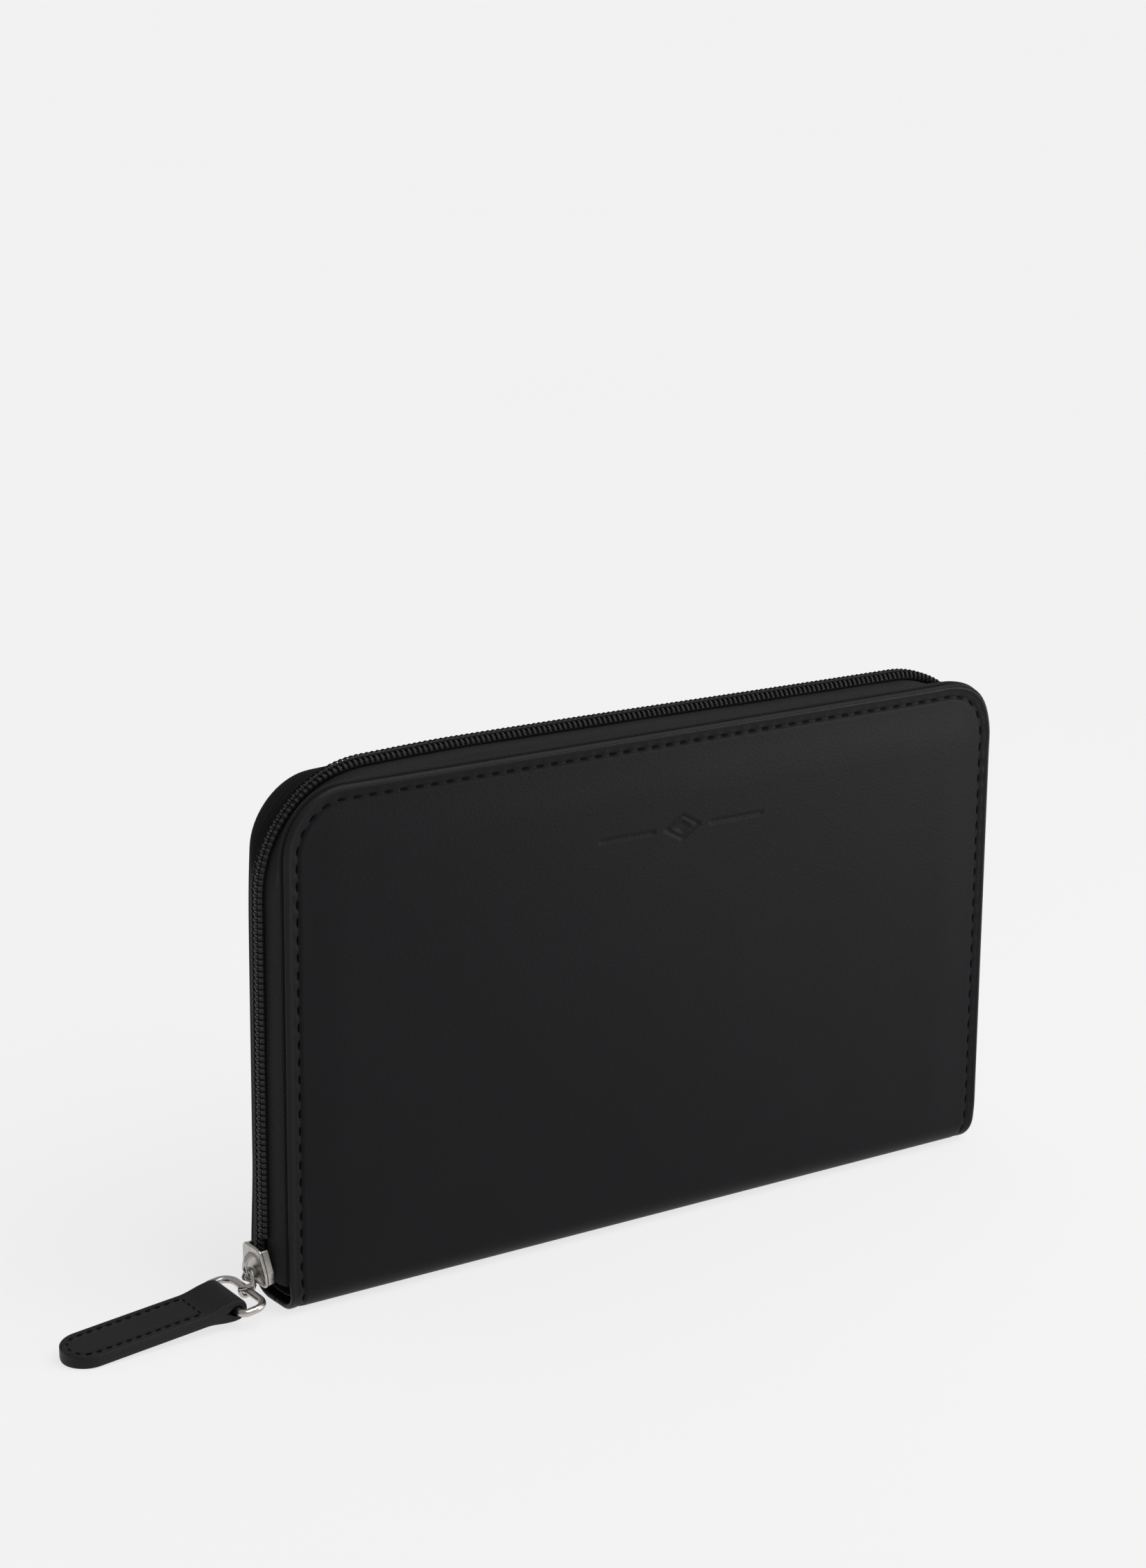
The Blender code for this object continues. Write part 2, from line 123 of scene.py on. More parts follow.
# The slider, link, ring and tab, as in the CAD.
SLIDER_Z = 12.0
SLIDER_TILT = math.radians(8.0)
CHAIN_CENTRE = 1.52
CHANNEL_HALF = 2.2
PLATE = 1.05
SLIDER_HALF = 5.0
CROWN_W = -0.2
CROWN_REACH = 2.6
CROWN_HALF = 3.1
LINK_WIRE = 0.55
LINK_HALF_LENGTH = 3.3
LINK_HALF_WIDTH = 2.15
LINK_LEAN = 1.3
LINK_TWIST_START = 0.15
LINK_TWIST_RUN = 0.5
RING_WIRE = 0.95
RING_LENGTH = 6.9
RING_WIDTH = 17.2
RING_CORNER = 3.4
RING_TAB_CORNER = 1.4
RING_Y = -1.2
PULL_YAW = math.radians(3.2)
PULL_ROLL = math.radians(4.9)
RING_PITCH = math.radians(6.3)
TAB_PITCH = math.radians(4.1)
TAB_LENGTH = 44.0
TAB_HALF = 6.4
HEAD_CENTRELINE = 2.02
HEAD_RISE = 9.0
HEAD_SLIT = 3.6
TAB_FACE = 1.55
TAB_HEAD_LAYER = 1.42

# The camera: a long lens, a little above the object, in front and to its left.
CAMERA_PLACE = (-495.3, -677.6, 339.5)
CAMERA_YAW = math.radians(35.03)
CAMERA_PITCH = math.radians(15.01)
CAMERA_ROLL = math.radians(-0.51)
CAMERA_LENS = 79.55
SENSOR = 36.0

# The floor and the light.
FLOOR_DARK = (0.175, 0.175, 0.175)
FLOOR_LIGHT = (0.185, 0.185, 0.185)
FLOOR_GLOW = 0.735
FLOOR_SIZE = 30000.0
FLOOR_Z = -0.02
WORLD = (0.42, 0.42, 0.42)


# ---------------------------------------------------------------- materials

class Nodes:
    """A short way to write a node material. Numbers are set on the sockets themselves."""

    def __init__(self, name):
        self.material = bpy.data.materials.new(name)
        self.material.use_nodes = True
        self.tree = self.material.node_tree
        self.shader = self.tree.nodes["Principled BSDF"]

    def add(self, kind, inputs=None, **settings):
        node = self.tree.nodes.new(kind)
        for key, value in settings.items():
            setattr(node, key, value)
        self.set(node, inputs or {})
        return node

    def set(self, node, inputs):
        for key, value in inputs.items():
            if isinstance(value, bpy.types.NodeSocket):
                self.tree.links.new(value, node.inputs[key])
            else:
                node.inputs[key].default_value = value

    def finish(self, **inputs):
        named = {key.replace("_", " "): value for key, value in inputs.items()}
        self.set(self.shader, named)
        return self.material

    def place(self, scale):
        """The surface's own millimetres, from its UV map, times scale along u and v."""
        uv = self.add("ShaderNodeUVMap", uv_map="UVMap")
        size = scale if isinstance(scale, tuple) else (scale, scale, scale)
        return self.add("ShaderNodeVectorMath", {0: uv.outputs[0], 1: size}, operation="MULTIPLY").outputs[0]

    def noise(self, vector, scale, detail=3.0, rough=0.5):
        return self.add("ShaderNodeTexNoise", {"Vector": vector, "Scale": scale, "Detail": detail,
                                               "Roughness": rough}).outputs["Fac"]

    def remap(self, value, low, high, start=0.0, end=1.0):
        inputs = {"Value": value, "From Min": start, "From Max": end, "To Min": low, "To Max": high}
        return self.add("ShaderNodeMapRange", inputs).outputs[0]

    def mix(self, factor, first, second):
        """Mixes two colours. Each is (r, g, b) or another node's output."""
        ends = [end if isinstance(end, bpy.types.NodeSocket) else (*end, 1.0) for end in (first, second)]
        return self.add("ShaderNodeMix", {0: factor, 6: ends[0], 7: ends[1]}, data_type="RGBA").outputs[2]

    def math(self, operation, first, second=0.0):
        return self.add("ShaderNodeMath", {0: first, 1: second}, operation=operation).outputs[0]

    def bump(self, height, distance, strength=1.0, below=None):
        inputs = {"Height": height, "Distance": distance * MM, "Strength": strength}
        if below is not None:
            inputs["Normal"] = below
        return self.add("ShaderNodeBump", inputs).outputs[0]


def rim_highlight_and_gloss_mask(n, here):
    """1 on the rim of the cover's cut, where a lighter colour is painted as a highlight and the leather is
    smoother, and 0 inside it, from the place on the cut.
    """
    parts = n.add("ShaderNodeSeparateXYZ", {0: here})
    across = n.math("SUBTRACT", n.math("ABSOLUTE", parts.outputs[0]), HALF - CORNER)
    up = n.math("SUBTRACT", parts.outputs[1], CUT_HEIGHT - CORNER)
    across, up = n.math("MAXIMUM", across, 0.0), n.math("MAXIMUM", up, 0.0)
    reach = n.math("SQRT", n.math("ADD", n.math("MULTIPLY", across, across), n.math("MULTIPLY", up, up)))
    return n.remap(reach, 0.0, 1.0, CORNER - 1.5, CORNER - 0.7)


def leather_material(name, dark, light, grain=1.0, roughness=(0.42, 0.56), specular=0.105, rim=None):
    """Smooth full-grain leather: fine pores and pebbles, with a faintly uneven dye. rim is a lighter
    colour painted along the cover's edge as a highlight; the edge is also smoother."""
    n = Nodes(name)
    here = n.place(1.0)
    pebble = n.add("ShaderNodeTexVoronoi", {"Vector": here, "Scale": 1.9 * grain, "Randomness": 1.0},
                   feature="SMOOTH_F1").outputs["Distance"]
    fine = n.noise(here, 3.4 * grain, 4.0, 0.6)
    cloud = n.noise(here, 0.045, 3.0, 0.55)
    pebbled = n.bump(pebble, 0.08, 0.5)
    normal = n.bump(fine, 0.055, 0.45, pebbled)
    colour = n.mix(cloud, dark, light)
    matt = n.remap(fine, *roughness, 0.3, 0.7)
    if rim:
        edge = rim_highlight_and_gloss_mask(n, here)
        # Painted highlight: the rim colour lightens the leather along the cover's edge.
        colour = n.mix(edge, colour, rim)
        matt = n.math("SUBTRACT", matt, n.math("MULTIPLY", edge, 0.14))
    return n.finish(Base_Color=colour, Roughness=matt, Specular_IOR_Level=specular, Normal=normal)


def weave_material(name, dark, light, pitch, depth, roughness=0.85, slant=0.0):
    """Woven cloth: warp and weft threads that pass over and under each other."""
    n = Nodes(name)
    turn = n.add("ShaderNodeMapping", {"Vector": n.place(1.0 / pitch), "Rotation": (0, 0, slant)}).outputs[0]
    parts = n.add("ShaderNodeSeparateXYZ", {0: turn})
    warp = n.math("ABSOLUTE", n.math("SINE", n.math("MULTIPLY", parts.outputs[0], math.pi)))
    weft = n.math("ABSOLUTE", n.math("SINE", n.math("MULTIPLY", parts.outputs[1], math.pi)))
    check = n.add("ShaderNodeTexChecker", {"Vector": turn, "Scale": 1.0}).outputs["Fac"]
    over = n.add("ShaderNodeMix", {0: check, 2: warp, 3: weft}, data_type="FLOAT").outputs[0]
    fuzz = n.noise(n.place(1.0), 6.0, 3.0, 0.6)
    normal = n.bump(fuzz, 0.04, 0.5, n.bump(over, depth, 0.9))
    return n.finish(Base_Color=n.mix(over, dark, light), Roughness=roughness,
                    Specular_IOR_Level=0.2, Sheen_Weight=0.05, Sheen_Roughness=0.5, Normal=normal)


def plastic_material(name, colour, roughness):
    n = Nodes(name)
    cloud = n.noise(n.place(1.0), 1.4, 2.0)
    tint = tuple(1.6 * c for c in colour)
    return n.finish(Base_Color=n.mix(cloud, colour, tint),
                    Roughness=n.remap(cloud, roughness, roughness + 0.12),
                    Specular_IOR_Level=0.4, Normal=n.bump(cloud, 0.03, 0.4))


def metal_material(name, dark, light, roughness):
    """Plated zinc: soft casting ripples, and dark and light patches of colour that follow them, painted
    reflections.
    """
    n = Nodes(name)
    here = n.add("ShaderNodeTexCoord").outputs["Object"]
    ripple = n.noise(here, 420.0, 3.0, 0.55)
    speck = n.noise(here, 2600.0, 2.0, 0.5)
    normal = n.bump(speck, 0.012, 0.4, n.bump(ripple, 0.1, 0.45))
    # The dark and light patches of the base colour are painted reflections.
    return n.finish(Base_Color=n.mix(ripple, dark, light), Metallic=1.0,
                    Roughness=n.remap(speck, roughness, roughness + 0.14, 0.3, 0.7), Normal=normal)


def thread_material(name, colour):
    """Twisted, waxed thread."""
    n = Nodes(name)
    twist = n.add("ShaderNodeTexWave", {"Vector": n.place(1.0), "Scale": 1.1, "Distortion": 0.4},
                  wave_type="BANDS", bands_direction="DIAGONAL").outputs["Fac"]
    return n.finish(Base_Color=n.mix(twist, colour, tuple(2.0 * c for c in colour)), Roughness=0.6,
                    Specular_IOR_Level=0.06, Normal=n.bump(twist, 0.08, 0.7))


def grained_material(name, dark, light, scale, depth, roughness=0.9):
    """Foam or board: object-space cells or fibres."""
    n = Nodes(name)
    here = n.add("ShaderNodeTexCoord").outputs["Object"]
    cell = n.add("ShaderNodeTexVoronoi", {"Vector": here, "Scale": scale}).outputs["Distance"]
    fibre = n.noise(here, 0.6 * scale, 4.0, 0.65)
    return n.finish(Base_Color=n.mix(fibre, dark, light), Roughness=roughness,
                    Normal=n.bump(cell, depth, 0.6))


# ---------------------------------------------------------------- meshes

def make_piece(name, points, faces, finish, uv=None, sharp=50.0, flip_check=True):
    """A smooth-shaded mesh object from points in millimetres. Points that meet are merged."""
    mesh = bpy.data.meshes.new(name)
    mesh.from_pydata((np.asarray(points, float) * MM).tolist(), [], faces)
    if uv is not None:
        layer = mesh.uv_layers.new(name="UVMap")
        corner = np.empty(len(mesh.loops), np.int32)
        mesh.loops.foreach_get("vertex_index", corner)
        layer.data.foreach_set("uv", np.asarray(uv, np.float32)[corner].ravel())
    bm = bmesh.new()
    bm.from_mesh(mesh)
    bmesh.ops.remove_doubles(bm, verts=bm.verts, dist=2e-7)
    bmesh.ops.dissolve_degenerate(bm, edges=bm.edges, dist=1e-8)
    if flip_check:
        bmesh.ops.recalc_face_normals(bm, faces=bm.faces)
    bm.to_mesh(mesh)
    bm.free()
    mesh.materials.append(finish)
    mesh.shade_smooth()
    mesh.set_sharp_from_angle(angle=math.radians(sharp))
    obj = bpy.data.objects.new(name, mesh)
    bpy.context.scene.collection.objects.link(obj)
    return obj


def grid_faces(rows, columns, start=0, wrap=False):
    """Quads between points stored row by row. wrap joins each row's end to its start."""
    last = columns if wrap else columns - 1
    r, c = np.meshgrid(np.arange(rows - 1), np.arange(last), indexing="ij")
    after = (c + 1) % columns
    quads = np.stack([r * columns + c, r * columns + after,
                      (r + 1) * columns + after, (r + 1) * columns + c], axis=-1)
    return (quads.reshape(-1, 4) + start).tolist()


class Pile:
    """Collects points, faces and UVs of the parts that make one piece."""

    def __init__(self):
        self.points, self.faces, self.uv, self.count = [], [], [], 0

    def grid(self, points, uv, wrap=False, caps=False):
        """points is rows x columns x 3. caps closes the first and last row."""
        rows, columns = points.shape[:2]
        start = self.count
        self.faces += grid_faces(rows, columns, start, wrap)
        if caps:
            self.faces.append(list(range(start, start + columns))[::-1])
            self.faces.append(list(range(start + (rows - 1) * columns, start + rows * columns)))
        self.add(points.reshape(-1, 3), uv.reshape(-1, 2))

    def add(self, points, uv, faces=()):
        self.faces += [[i + self.count for i in face] for face in faces]
        self.points.append(np.asarray(points, float))
        self.uv.append(np.asarray(uv, float))
        self.count += len(points)

    def piece(self, name, finish, sharp=50.0):
        return make_piece(name, np.concatenate(self.points), self.faces, finish,
                          np.concatenate(self.uv), sharp)


def smooth(value):
    value = np.clip(value, 0.0, 1.0)
    return value * value * (3 - 2 * value)


def spans(*stops):
    """Points along a line: (end, step) pairs after a first start."""
    points = [stops[0]]
    for end, step in stops[1:]:
        count = max(1, round((end - points[-1]) / step))
        points += list(np.linspace(points[-1], end, count + 1)[1:])
    return np.array(points)


def path_frames(path, closed=False, up=None):
    """The unit side and normal at each point of a path."""
    path = np.asarray(path, float)
    if closed:
        along = np.roll(path, -1, axis=0) - np.roll(path, 1, axis=0)
    else:
        along = np.gradient(path, axis=0)
    along /= np.linalg.norm(along, axis=1)[:, None]
    side = np.empty_like(along)
    current = np.array(up if up is not None else Vector(along[0]).orthogonal(), float)
    for i, t in enumerate(along):
        current = current - t * (current @ t)
        current /= np.linalg.norm(current)
        side[i] = current
    return side, np.cross(along, side)


def distances(path):
    """How far along the path each of its points is."""
    return np.concatenate([[0], np.cumsum(np.linalg.norm(np.diff(path, axis=0), axis=1))])


def flat_normals(path):
    """The unit normal at each point of a flat path, to the right of its way."""
    along = np.gradient(path, axis=0)
    along /= np.linalg.norm(along, axis=1)[:, None]
    return np.stack([along[:, 1], -along[:, 0]], -1)


def sweep(pile, path, section, closed=False, up=None):
    """Carries a closed section of (side, normal) points along a path."""
    path = np.asarray(path, float)
    side, normal = path_frames(path, closed, up)
    section = np.asarray(section, float)
    if section.ndim == 2:
        section = np.repeat(section[None], len(path), axis=0)
    points = path[:, None] + section[..., :1] * side[:, None] + section[..., 1:] * normal[:, None]
    if closed:
        points = np.concatenate([points, points[:1]])
        path = np.concatenate([path, path[:1]])
    length = distances(path)
    uv = np.stack(np.broadcast_arrays(length[:, None], np.linspace(0, 4, points.shape[1])[None]), -1)
    pile.grid(points, uv, wrap=True, caps=not closed)


def round_section(radius_a, radius_b=None, sides=12, power=2.0):
    """A circle, ellipse or rounded rectangle (power above 2) of (side, normal) points."""
    angle = np.arange(sides) * 2 * math.pi / sides
    c, s = np.cos(angle), np.sin(angle)
    reach = (np.abs(c) ** power + np.abs(s) ** power) ** (-1 / power)
    return np.stack([radius_a * c * reach, (radius_b or radius_a) * s * reach], -1)


def fillet(corners, steps=5):
    """A flat outline of (a, b, radius) corners, each rounded."""
    points = []
    count = len(corners)
    for i, (a, b, radius) in enumerate(corners):
        here = np.array([a, b])
        before = np.array(corners[i - 1][:2]) - here
        after = np.array(corners[(i + 1) % count][:2]) - here
        before, after = before / np.linalg.norm(before), after / np.linalg.norm(after)
        half = math.acos(np.clip(before @ after, -1, 1)) / 2
        run = radius / math.tan(half)
        start, end = here + before * run, here + after * run
        centre = here + (before + after) / np.linalg.norm(before + after) * radius / math.sin(half)
        for k in range(steps + 1):
            mixed = start * (1 - k / steps) + end * k / steps - centre
            points.append(centre + mixed / np.linalg.norm(mixed) * radius)
    return np.array(points)


def slab(pile, outline, low, high, place, edge=0.3, crown=0.0):
    """A plate with rounded edges. place turns (a, b, height) into a point."""
    middle = outline.mean(axis=0)
    reach = np.linalg.norm(outline - middle, axis=1).mean()
    rows = []
    levels = []
    for angle in (-90, -60, -30, 0):
        a = math.radians(angle)
        levels.append((edge * (1 - math.cos(a)), low + edge * (1 + math.sin(a))))
    for angle in (0, 30, 60, 90):
        a = math.radians(angle)
        levels.append((edge * (1 - math.cos(a)), high - edge * (1 - math.sin(a))))
    for inset, level in levels:
        shrunk = middle + (outline - middle) * (1 - inset / reach)
        rows.append([place(a, b, level) for a, b in shrunk])
    for share in (0.66, 0.33, 0.02):
        shrunk = middle + (outline - middle) * (1 - edge / reach) * share
        rows.append([place(a, b, high + crown * (1 - share * share)) for a, b in shrunk])
    points = np.array(rows)
    uv = np.stack(np.broadcast_arrays(np.arange(len(rows))[:, None] * 0.5,
                                      np.arange(len(outline))[None] * 0.5), -1).astype(float)
    pile.grid(points, uv, wrap=True, caps=True)


# ---------------------------------------------------------------- the cover's cut

def formed(points, side):
    """The set that use has given the covers: the back one leans in along its sides and most at
    its top corners, and the front one's far corner stands a little proud."""
    x, y, z = points[..., 0], points[..., 1], points[..., 2]
    if side > 0:
        beside = (np.abs(x) - HALF) ** 2 / BACK_PINCH_RUN ** 2
        corner = BACK_PINCH * np.exp(-beside - (z - HEIGHT) ** 2 / BACK_PINCH_RUN ** 2)
        edge = SIDE_PINCH * np.exp(-beside) * smooth((z - FOLD) / SIDE_PINCH_RISE)
        return np.stack([x, y * (1 - np.hypot(corner, edge)), z], -1)
    away = ((x - HALF + FRONT_PUSH_INSET) ** 2 + (z - HEIGHT + FRONT_PUSH_INSET) ** 2) / FRONT_PUSH_RUN ** 2
    push = FRONT_CORNER_PUSH * np.exp(-away) * smooth((-y - FRONT_PUSH_DEPTH) / FRONT_PUSH_DEPTH)
    return np.stack([x + FRONT_PUSH_WAY[0] * push, y, z + FRONT_PUSH_WAY[1] * push], -1)


def on_cover(u, v, h, side):
    """A point of the wrapped cover."""
    turn = np.clip((v - FLAT_HALF) / FOLD, 0, math.pi / 2)
    y = np.minimum(v, FLAT_HALF) + FOLD * np.sin(turn)
    z = FOLD - FOLD * np.cos(turn) + np.maximum(v - FLAT_HALF - FOLD_ARC, 0)
    y, z = y + h * np.sin(turn), z - h * np.cos(turn)
    trim = SPINE_TRIM * (1 - smooth((v - 3.0) / 16.0)) * smooth((np.abs(u) - HALF + 25) / 25)
    return formed(np.stack(np.broadcast_arrays(u - np.sign(u) * trim, side * y, z), -1), side)


LEG = CUT_HEIGHT - CORNER
SPAN = WIDTH - 2 * CORNER
SEAM_TURN = (CORNER - SEAM_INSET) * math.pi / 2
SEAM_LENGTH = 2 * LEG + 2 * SEAM_TURN + SPAN
SEAM_STITCHES = round(SEAM_LENGTH / STITCH_PITCH)


def seam_point(s, d):
    """(u, v) on the cut at a distance s along the seam line and d in from the edge."""
    s, d = np.broadcast_arrays(np.asarray(s, float), d)
    radius = CORNER - d
    mirrored = s > SEAM_LENGTH / 2
    s = np.where(mirrored, SEAM_LENGTH - s, s)
    angle = np.clip((s - LEG) / SEAM_TURN, 0, 1) * math.pi / 2
    u = -HALF + CORNER - radius * np.cos(angle) + np.maximum(s - LEG - SEAM_TURN, 0)
    v = np.minimum(s, LEG) + radius * np.sin(angle)
    return np.where(mirrored, -u, u), v


def mark_depth(u, v):
    """A plain blind-pressed ornament: a lozenge between two short rules."""
    a, b = np.abs(u - MARK_U), np.abs(v - MARK_V)
    lozenge = np.abs(a / 6.0 + b / 3.4 - 0.86) * 3.4
    inner = np.maximum((a / 6.0 + b / 3.4 - 0.36) * 3.4, 0.0)
    rule = np.hypot(np.maximum(np.abs(a - 17.0) - 8.0, 0), b)
    near = np.minimum(np.minimum(lozenge, inner), rule)
    return 0.3 * smooth((0.62 - near) / 0.4)


def relief(d, s, u, v, marked):
    """The height of the outer face, d in from the edge and s along the seam."""
    free = smooth((v - FLAT_HALF - 3.0) / 16.0)
    bead = 0.22 * np.exp(-((d - 1.0) / 0.5) ** 2)
    pucker = np.cos(2 * math.pi * (s / SEAM_LENGTH * SEAM_STITCHES - 0.5))
    seam = SEAM_DEPTH * (0.8 + 0.2 * pucker) * np.exp(-((d - SEAM_INSET) / 0.5) ** 2)
    seam = seam + 0.1 * (1 + pucker) * np.exp(-((d - SEAM_INSET + 0.7) / 0.7) ** 2)
    pillow = PILLOW * smooth((d - 3.7) / PILLOW_RUN)
    wave = np.sin(u / 23.0 + v / 31.0) + np.sin(v / 17.0 - u / 41.0 + 1.3)
    wave = 0.05 * wave * smooth((d - 6.0) / 10.0)
    return free * (bead + pillow + wave) - seam - mark_depth(u, v) * (marked and d > 6)


def edge_profile():
    """(d, h) from the under face round the edge, then the insets of the outer face."""
    under = [(d, -LEATHER) for d in (CORNER, 9.0, 4.0, 1.6)]
    turn = [math.radians(a) for a in range(-90, 90, 20)]
    around = [(EDGE_ROUND * (1 - math.cos(a)), EDGE_ROUND * (math.sin(a) - 1)) for a in turn]
    top = (0.7, 0.95, 1.2, 1.5, 1.85, 2.25, 2.6, 2.85, 3.05, 3.25, 3.45, 3.65, 3.85, 4.1, 4.4, 4.8,
           5.2, 5.8, 6.6, 7.6, 9.0, 11.0, 13.5, CORNER)
    return under + around, top


def band_columns(rows, columns):
    """Where each column of the rim's band starts, which way it runs, and its s."""
    u0, v0 = HALF - CORNER, LEG
    turns = np.linspace(0, math.pi / 2, 19)[1:-1]
    start = [(-u0, v) for v in rows] + [(-u0, v0)] * len(turns) + [(u, v0) for u in columns]
    way = [(-1, 0)] * len(rows) + [(-math.cos(a), math.sin(a)) for a in turns] + [(0, 1)] * len(columns)
    s = list(rows) + [LEG + SEAM_TURN * a / (math.pi / 2) for a in turns]
    s += [LEG + SEAM_TURN + u + u0 for u in columns]
    start += [(u0, v0)] * len(turns) + [(u0, v) for v in rows[::-1]]
    way += [(math.cos(a), math.sin(a)) for a in turns[::-1]] + [(1, 0)] * len(rows)
    s += [SEAM_LENGTH - LEG - SEAM_TURN * a / (math.pi / 2) for a in turns[::-1]]
    s += [SEAM_LENGTH - v for v in rows[::-1]]
    return np.array(start, float), np.array(way, float), np.array(s, float)


def cover_leather(name, side, finish, marked):
    """The leather of one half: its panel, its rolled edge and its part of the spine."""
    step = STITCH_PITCH / 4
    high, wide = (MARK_HALF[1], MARK_HALF[0]) if marked else (0.0, 0.0)
    fine = 0.42 if marked else step
    rows = spans(0.0, (FLAT_HALF, step), (FLAT_HALF + FOLD_ARC, 0.8), (MARK_V - high - 1, step),
                 (MARK_V + high, fine), (LEG, step))
    columns = spans(-HALF + CORNER, (MARK_U - wide - 1, step), (MARK_U + wide, fine), (HALF - CORNER, step))
    under, top = edge_profile()
    start, way, s = band_columns(rows, columns)
    pile = Pile()
    grid, uv = [], []
    for d, h in under:
        at = start + way * (CORNER - d)
        grid.append(on_cover(at[:, 0], at[:, 1], h, side))
        uv.append(at + way * (2 * LEATHER if h < -EDGE_ROUND else 0))
    for d in top:
        at = start + way * (CORNER - d)
        h = relief(d, s, at[:, 0], at[:, 1], marked)
        grid.append(on_cover(at[:, 0], at[:, 1], h, side))
        uv.append(at)
    pile.grid(np.array(grid), np.array(uv))
    v, u = np.meshgrid(rows, columns, indexing="ij")
    flat = np.stack([u, v], -1)
    h = relief(CORNER, 0.0, u, v, marked)
    pile.grid(on_cover(u, v, h, side), flat)
    pile.grid(on_cover(u, v, -LEATHER + 0 * u, side), flat)
    obj = pile.piece(name, finish, 60.0)
    close_rim(obj)
    return obj


def close_rim(obj):
    """Closes the open edge along the middle of the spine."""
    bm = bmesh.new()
    bm.from_mesh(obj.data)
    bmesh.ops.holes_fill(bm, edges=[e for e in bm.edges if e.is_boundary], sides=0)
    bmesh.ops.recalc_face_normals(bm, faces=bm.faces)
    bm.to_mesh(obj.data)
    bm.free()


def stitch(pile, centre, length, radius, to_point, slant=0.0, rings=7, sides=6):
    """One stitch: a short thread whose ends dive into the hole. to_point takes (s, d, h)."""
    t = np.linspace(-1, 1, rings)
    thick = radius * np.sqrt(np.clip(1 - 0.92 * t ** 6, 0, 1))
    angle = np.arange(sides) * 2 * math.pi / sides
    s = centre[0] + t[:, None] * length / 2 + 0 * angle
    d = centre[1] + slant * t[:, None] + thick[:, None] * np.cos(angle)
    h = centre[2] - 1.3 * radius * t[:, None] ** 4 + thick[:, None] * np.sin(angle)
    uv = np.stack([s, d + h], -1)
    pile.grid(to_point(s, d, h), uv, wrap=True, caps=True)


def cover_seam(name, side, finish):
    pile = Pile()
    pitch = SEAM_LENGTH / SEAM_STITCHES

    def to_point(s, d, h):
        u, v = seam_point(s, d)
        return on_cover(u, v, h, side)

    for i in range(SEAM_STITCHES):
        stitch(pile, ((i + 0.5) * pitch, SEAM_INSET, -0.3), STITCH_LENGTH, 0.24, to_point, 0.1)
    return pile.piece(name, finish, 80.0)


# ---------------------------------------------------------------- the zip

RIM_LEG = HEIGHT - CORNER
RIM_TURN = CORNER * math.pi / 2
RIM_LENGTH = 2 * RIM_LEG + 2 * RIM_TURN + SPAN


def corner_point(s, radius, n):
    """(x, z) at s up the left side and over the first corner, n out from the leather's edge."""
    start = HEIGHT - radius
    length = RIM_TURN + 2 * (radius - CORNER)
    angle = np.clip((s - start) / length, 0, 1) * math.pi / 2
    x = -HALF + radius * (1 - np.cos(angle)) - n * RIM_SIDE * np.cos(angle)
    x = x + np.maximum(s - start - length, 0)
    return x, np.minimum(s, start) + radius * np.sin(angle) + n * RIM_TOP * np.sin(angle)


def on_rim(s, n, y, side):
    """A point at s along the rim, n out from the leather's edge and y from the middle plane.
    The band keeps to the leather far from that plane, and to the zip's wider curve near it."""
    s = np.asarray(s, float)
    mirrored = s > RIM_LENGTH / 2
    lift = TOP_BULGE * smooth((s - BULGE_RISE[0]) / BULGE_RISE[1])
    lift = lift * (1 - smooth((s - BULGE_FALL[0]) / BULGE_FALL[1]))
    s = np.where(mirrored, RIM_LENGTH - s, s)
    share = smooth((BLEND[0] - y) / (BLEND[0] - BLEND[1]))
    near, far = corner_point(s, CORNER, n), corner_point(s, ZIP_CORNER, n)
    x, z = (a + (b - a) * share for a, b in zip(near, far))
    z = z + lift * share
    return formed(np.stack(np.broadcast_arrays(np.where(mirrored, -x, x), side * y, z), -1), side)


def rounded_line(points, steps=6):
    """A smooth curve through the corners of a bent line, as a Catmull-Rom spline."""
    p = np.array(points, float)
    p = np.concatenate([2 * p[:1] - p[1:2], p, 2 * p[-1:] - p[-2:-1]])
    out = []
    for i in range(1, len(p) - 2):
        for k in range(steps):
            t = k / steps
            a, b, c, e = p[i - 1], p[i], p[i + 1], p[i + 2]
            out.append(0.5 * (2 * b + (c - a) * t + (2 * a - 5 * b + 4 * c - e) * t ** 2
                              + (3 * b - a - 3 * c + e) * t ** 3))
    out.append(p[-2])
    return np.array(out)


def zip_tape(name, side, finish):
    """The woven tape: flat under the leather, and bulging out to the coil."""
    outer = rounded_line(TAPE_SECTION)
    (edge, face), (fold, _) = TAPE_SECTION[:2]
    inner = rounded_line([(edge, face - TAPE), (fold - TAPE, face - TAPE)]
                         + [(n - TAPE, y) for n, y in TAPE_SECTION[2:]])
    section = np.concatenate([outer, inner[::-1]])
    width = distances(section)
    s = spans(TAPE_BOTTOM, (RIM_LEG, 2.0), (RIM_LEG + RIM_TURN, 0.8), (RIM_LENGTH - RIM_LEG - RIM_TURN, 2.0),
              (RIM_LENGTH - RIM_LEG, 0.8), (RIM_LENGTH - TAPE_BOTTOM, 2.0))
    ripple = 0.07 * np.sin(s / 5.3 + side) * np.sin(s / 13.1)
    n = section[None, :, 0] + ripple[:, None] * (section[None, :, 0] > 0)
    points = on_rim(s[:, None], n, section[None, :, 1] + 0 * n, side)
    uv = np.stack(np.broadcast_arrays(s[:, None], width[None]), -1)
    pile = Pile()
    pile.grid(points, uv, wrap=True, caps=True)
    return pile.piece(name, finish, 60.0)


